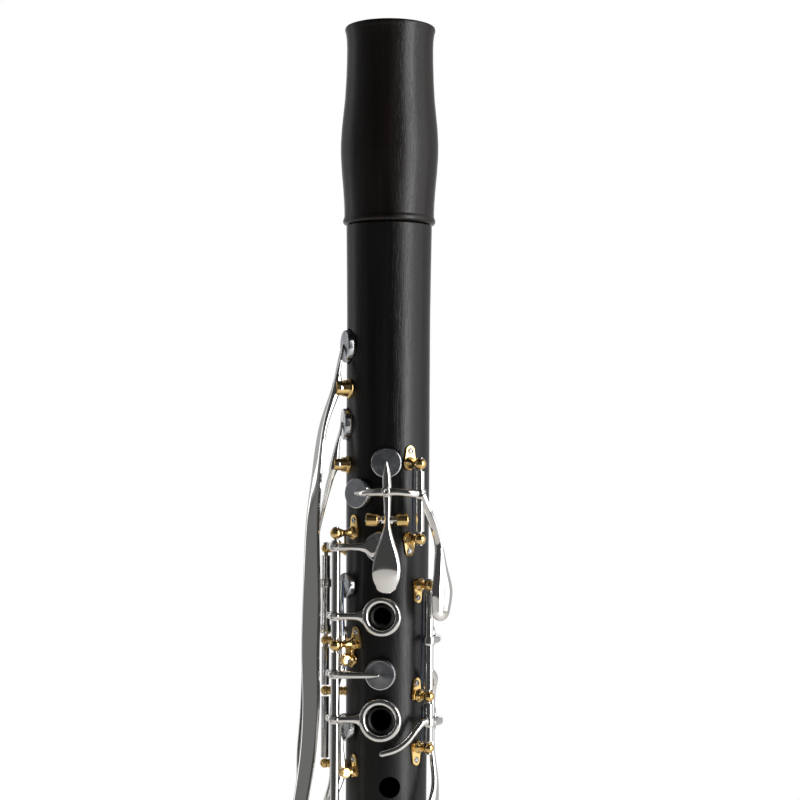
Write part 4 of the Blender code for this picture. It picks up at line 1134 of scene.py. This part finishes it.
def make_left_levers():
    lows = {"left_fsharp_lever": (222, 214), "left_f_lever": (208, 189), "left_e_lever": (198, 164)}
    lines = []
    for body, (low, tip_deg) in lows.items():
        reach, deg, _ = hinge(body)
        deg %= 360
        link = low + 2
        turn = tip_deg - deg
        touch = [
            (reach, deg, 291, 2.6, 2.4), (22.4, deg - 4, 295.5, 3, 1.7), (23, deg - 16, 304, 5, 1.6),
            (23.2, deg - 22, 313, 6.6, 1.6), (23.2, deg - 22, 322.6, 6.4, 1.5),
        ]
        arm = [
            (reach, deg, link, 2.6, 2.4), (17.6, deg + 0.25 * turn, link, 2.4, 1.8),
            (16.5, deg + 0.6 * turn, link, 2.4, 1.4),
            (16.3, tip_deg - 1, link, 2.4, 1.3),
        ]
        hinged_key(body, (low, 294.9), [(touch, TOUCH), (arm, ARM)], collars=(291,))
        lines.append(((reach, deg), (297.2, low - 2.3)))

    plates = ((150, 219.7, -1), (128, 205.7, -1), (106, 195.7, -1))
    post_group("left_lever_posts", lines, plates=plates, straps=((103, 297.2), (128, 297.2), (153, 297.2)))


def make_thumb_rest():
    """A curved plate on the back with a hooked shelf for the thumb."""
    metal, screws = Piece(), Piece()
    plate = [(14.5, 180, z, width, 0.9) for z, width in ((251, 8.5), (259, 11.6), (271, 11.6), (278, 8.5))]
    shelf = [
        (14.6, 180, 264, 10.5, 1.6), (17, 180, 264.3, 12.2, 1.8), (20.5, 180, 265, 12.6, 1.8),
        (24, 180, 267, 10.5, 1.6),
    ]
    metal.bar(plate, square=0.45, tips=(0.2, 0.2))
    metal.bar(shelf, square=0.5, tips=(0.1, 0.2))
    for z in (254, 275.5):
        screw(screws, place(14.9, 180, z), radial(180), 1.4)
    metal.save("thumb_rest_metal", SILVER, "body", "silver_plate", ("thumb_rest",))
    screws.save("thumb_rest_screws", STEEL, "body", "silver_plate")


# ---- studio

def make_floor():
    bpy.ops.mesh.primitive_circle_add(vertices=96, radius=1.6, fill_type="NGON", location=(0, 0, 0))
    floor = bpy.context.object
    floor.name = "studio_floor"
    floor.data.materials.append(floor_material())


def area_light(name, azimuth, height, reach, size, power):
    """A soft box that faces the instrument from azimuth degrees round the bore."""
    light = bpy.data.lights.new(name, "AREA")
    light.shape = "RECTANGLE"
    light.size, light.size_y = size
    light.energy = power
    obj = linked(name, light)
    obj.location = radial(azimuth) * reach + Vector((0, 0, height))
    obj.rotation_euler = (Vector((0, 0, 0.43)) - obj.location).to_track_quat("-Z", "Y").to_euler()
    return obj


def make_world():
    """A dark studio with a white backdrop and white walls to the right and the left."""
    world = bpy.data.worlds.new("studio")
    world.use_nodes = True
    bpy.context.scene.world = world
    nodes = Nodes(world.node_tree)
    background = world.node_tree.nodes["Background"]
    where = nodes.tree.nodes.new("ShaderNodeTexCoord")
    split = nodes.tree.nodes.new("ShaderNodeSeparateXYZ")
    nodes.link(where.outputs["Generated"], split.inputs[0])
    x, y, z = split.outputs
    azimuth = nodes.math("ARCTAN2", x, nodes.math("MULTIPLY", y, -1))
    total = nodes.math("ADD", nodes.step(y, 0.8, 0.95, 0, 0.8), 0.05)
    for low, high, strength in ((66, 108, 1.2), (104, 150, 0.4), (-150, -104, 0.35), (-108, -58, 0.1)):
        start, end = math.radians(low), math.radians(high)
        wall = nodes.math(
            "MULTIPLY", nodes.step(azimuth, start, start + 0.12), nodes.step(azimuth, end - 0.12, end, 1, 0),
        )
        total = nodes.math("ADD", total, nodes.math("MULTIPLY", wall, strength))
    total = nodes.math("MULTIPLY", total, nodes.step(z, 0.45, 0.8, 1, 0.25))
    path = nodes.tree.nodes.new("ShaderNodeLightPath")
    mix = nodes.add("ShaderNodeMix", data_type="FLOAT")
    nodes.link(path.outputs["Is Camera Ray"], mix.inputs[0])
    nodes.link(total, mix.inputs[2])
    mix.inputs[3].default_value = 1.0
    nodes.link(mix.outputs[0], background.inputs["Strength"])
    background.inputs["Color"].default_value = (1, 1, 1, 1)


def make_camera():
    camera = bpy.data.cameras.new("camera")
    camera.lens = CAMERA_LENS
    camera.sensor_width = 36.0
    camera.clip_start = 0.01
    obj = linked("camera", camera)
    obj.location = Vector((CAMERA_SIDE, -CAMERA_REACH, CAMERA_HEIGHT)) * MM
    tilt = math.radians(90 + CAMERA_TILT)
    obj.rotation_mode = "QUATERNION"
    aim = Matrix.Rotation(tilt, 4, "X") @ Matrix.Rotation(math.radians(CAMERA_ROLL), 4, "Z")
    obj.rotation_quaternion = aim.to_quaternion()
    bpy.context.scene.camera = obj


bpy.context.scene.view_settings.view_transform = "Standard"
make_camera()
make_floor()
make_world()
area_light("right_box", 54, 0.55, 1.1, (0.46, 1.3), 9)
area_light("left_box", -112, 0.55, 1.2, (0.12, 1.1), 0.5)
make_wood()
make_throat_a()
make_throat_gsharp()
make_upper_stack()
make_right_keys()
make_side_keys()
make_register()
make_lower_stack()
make_pinky_keys()
make_left_levers()
make_thumb_rest()
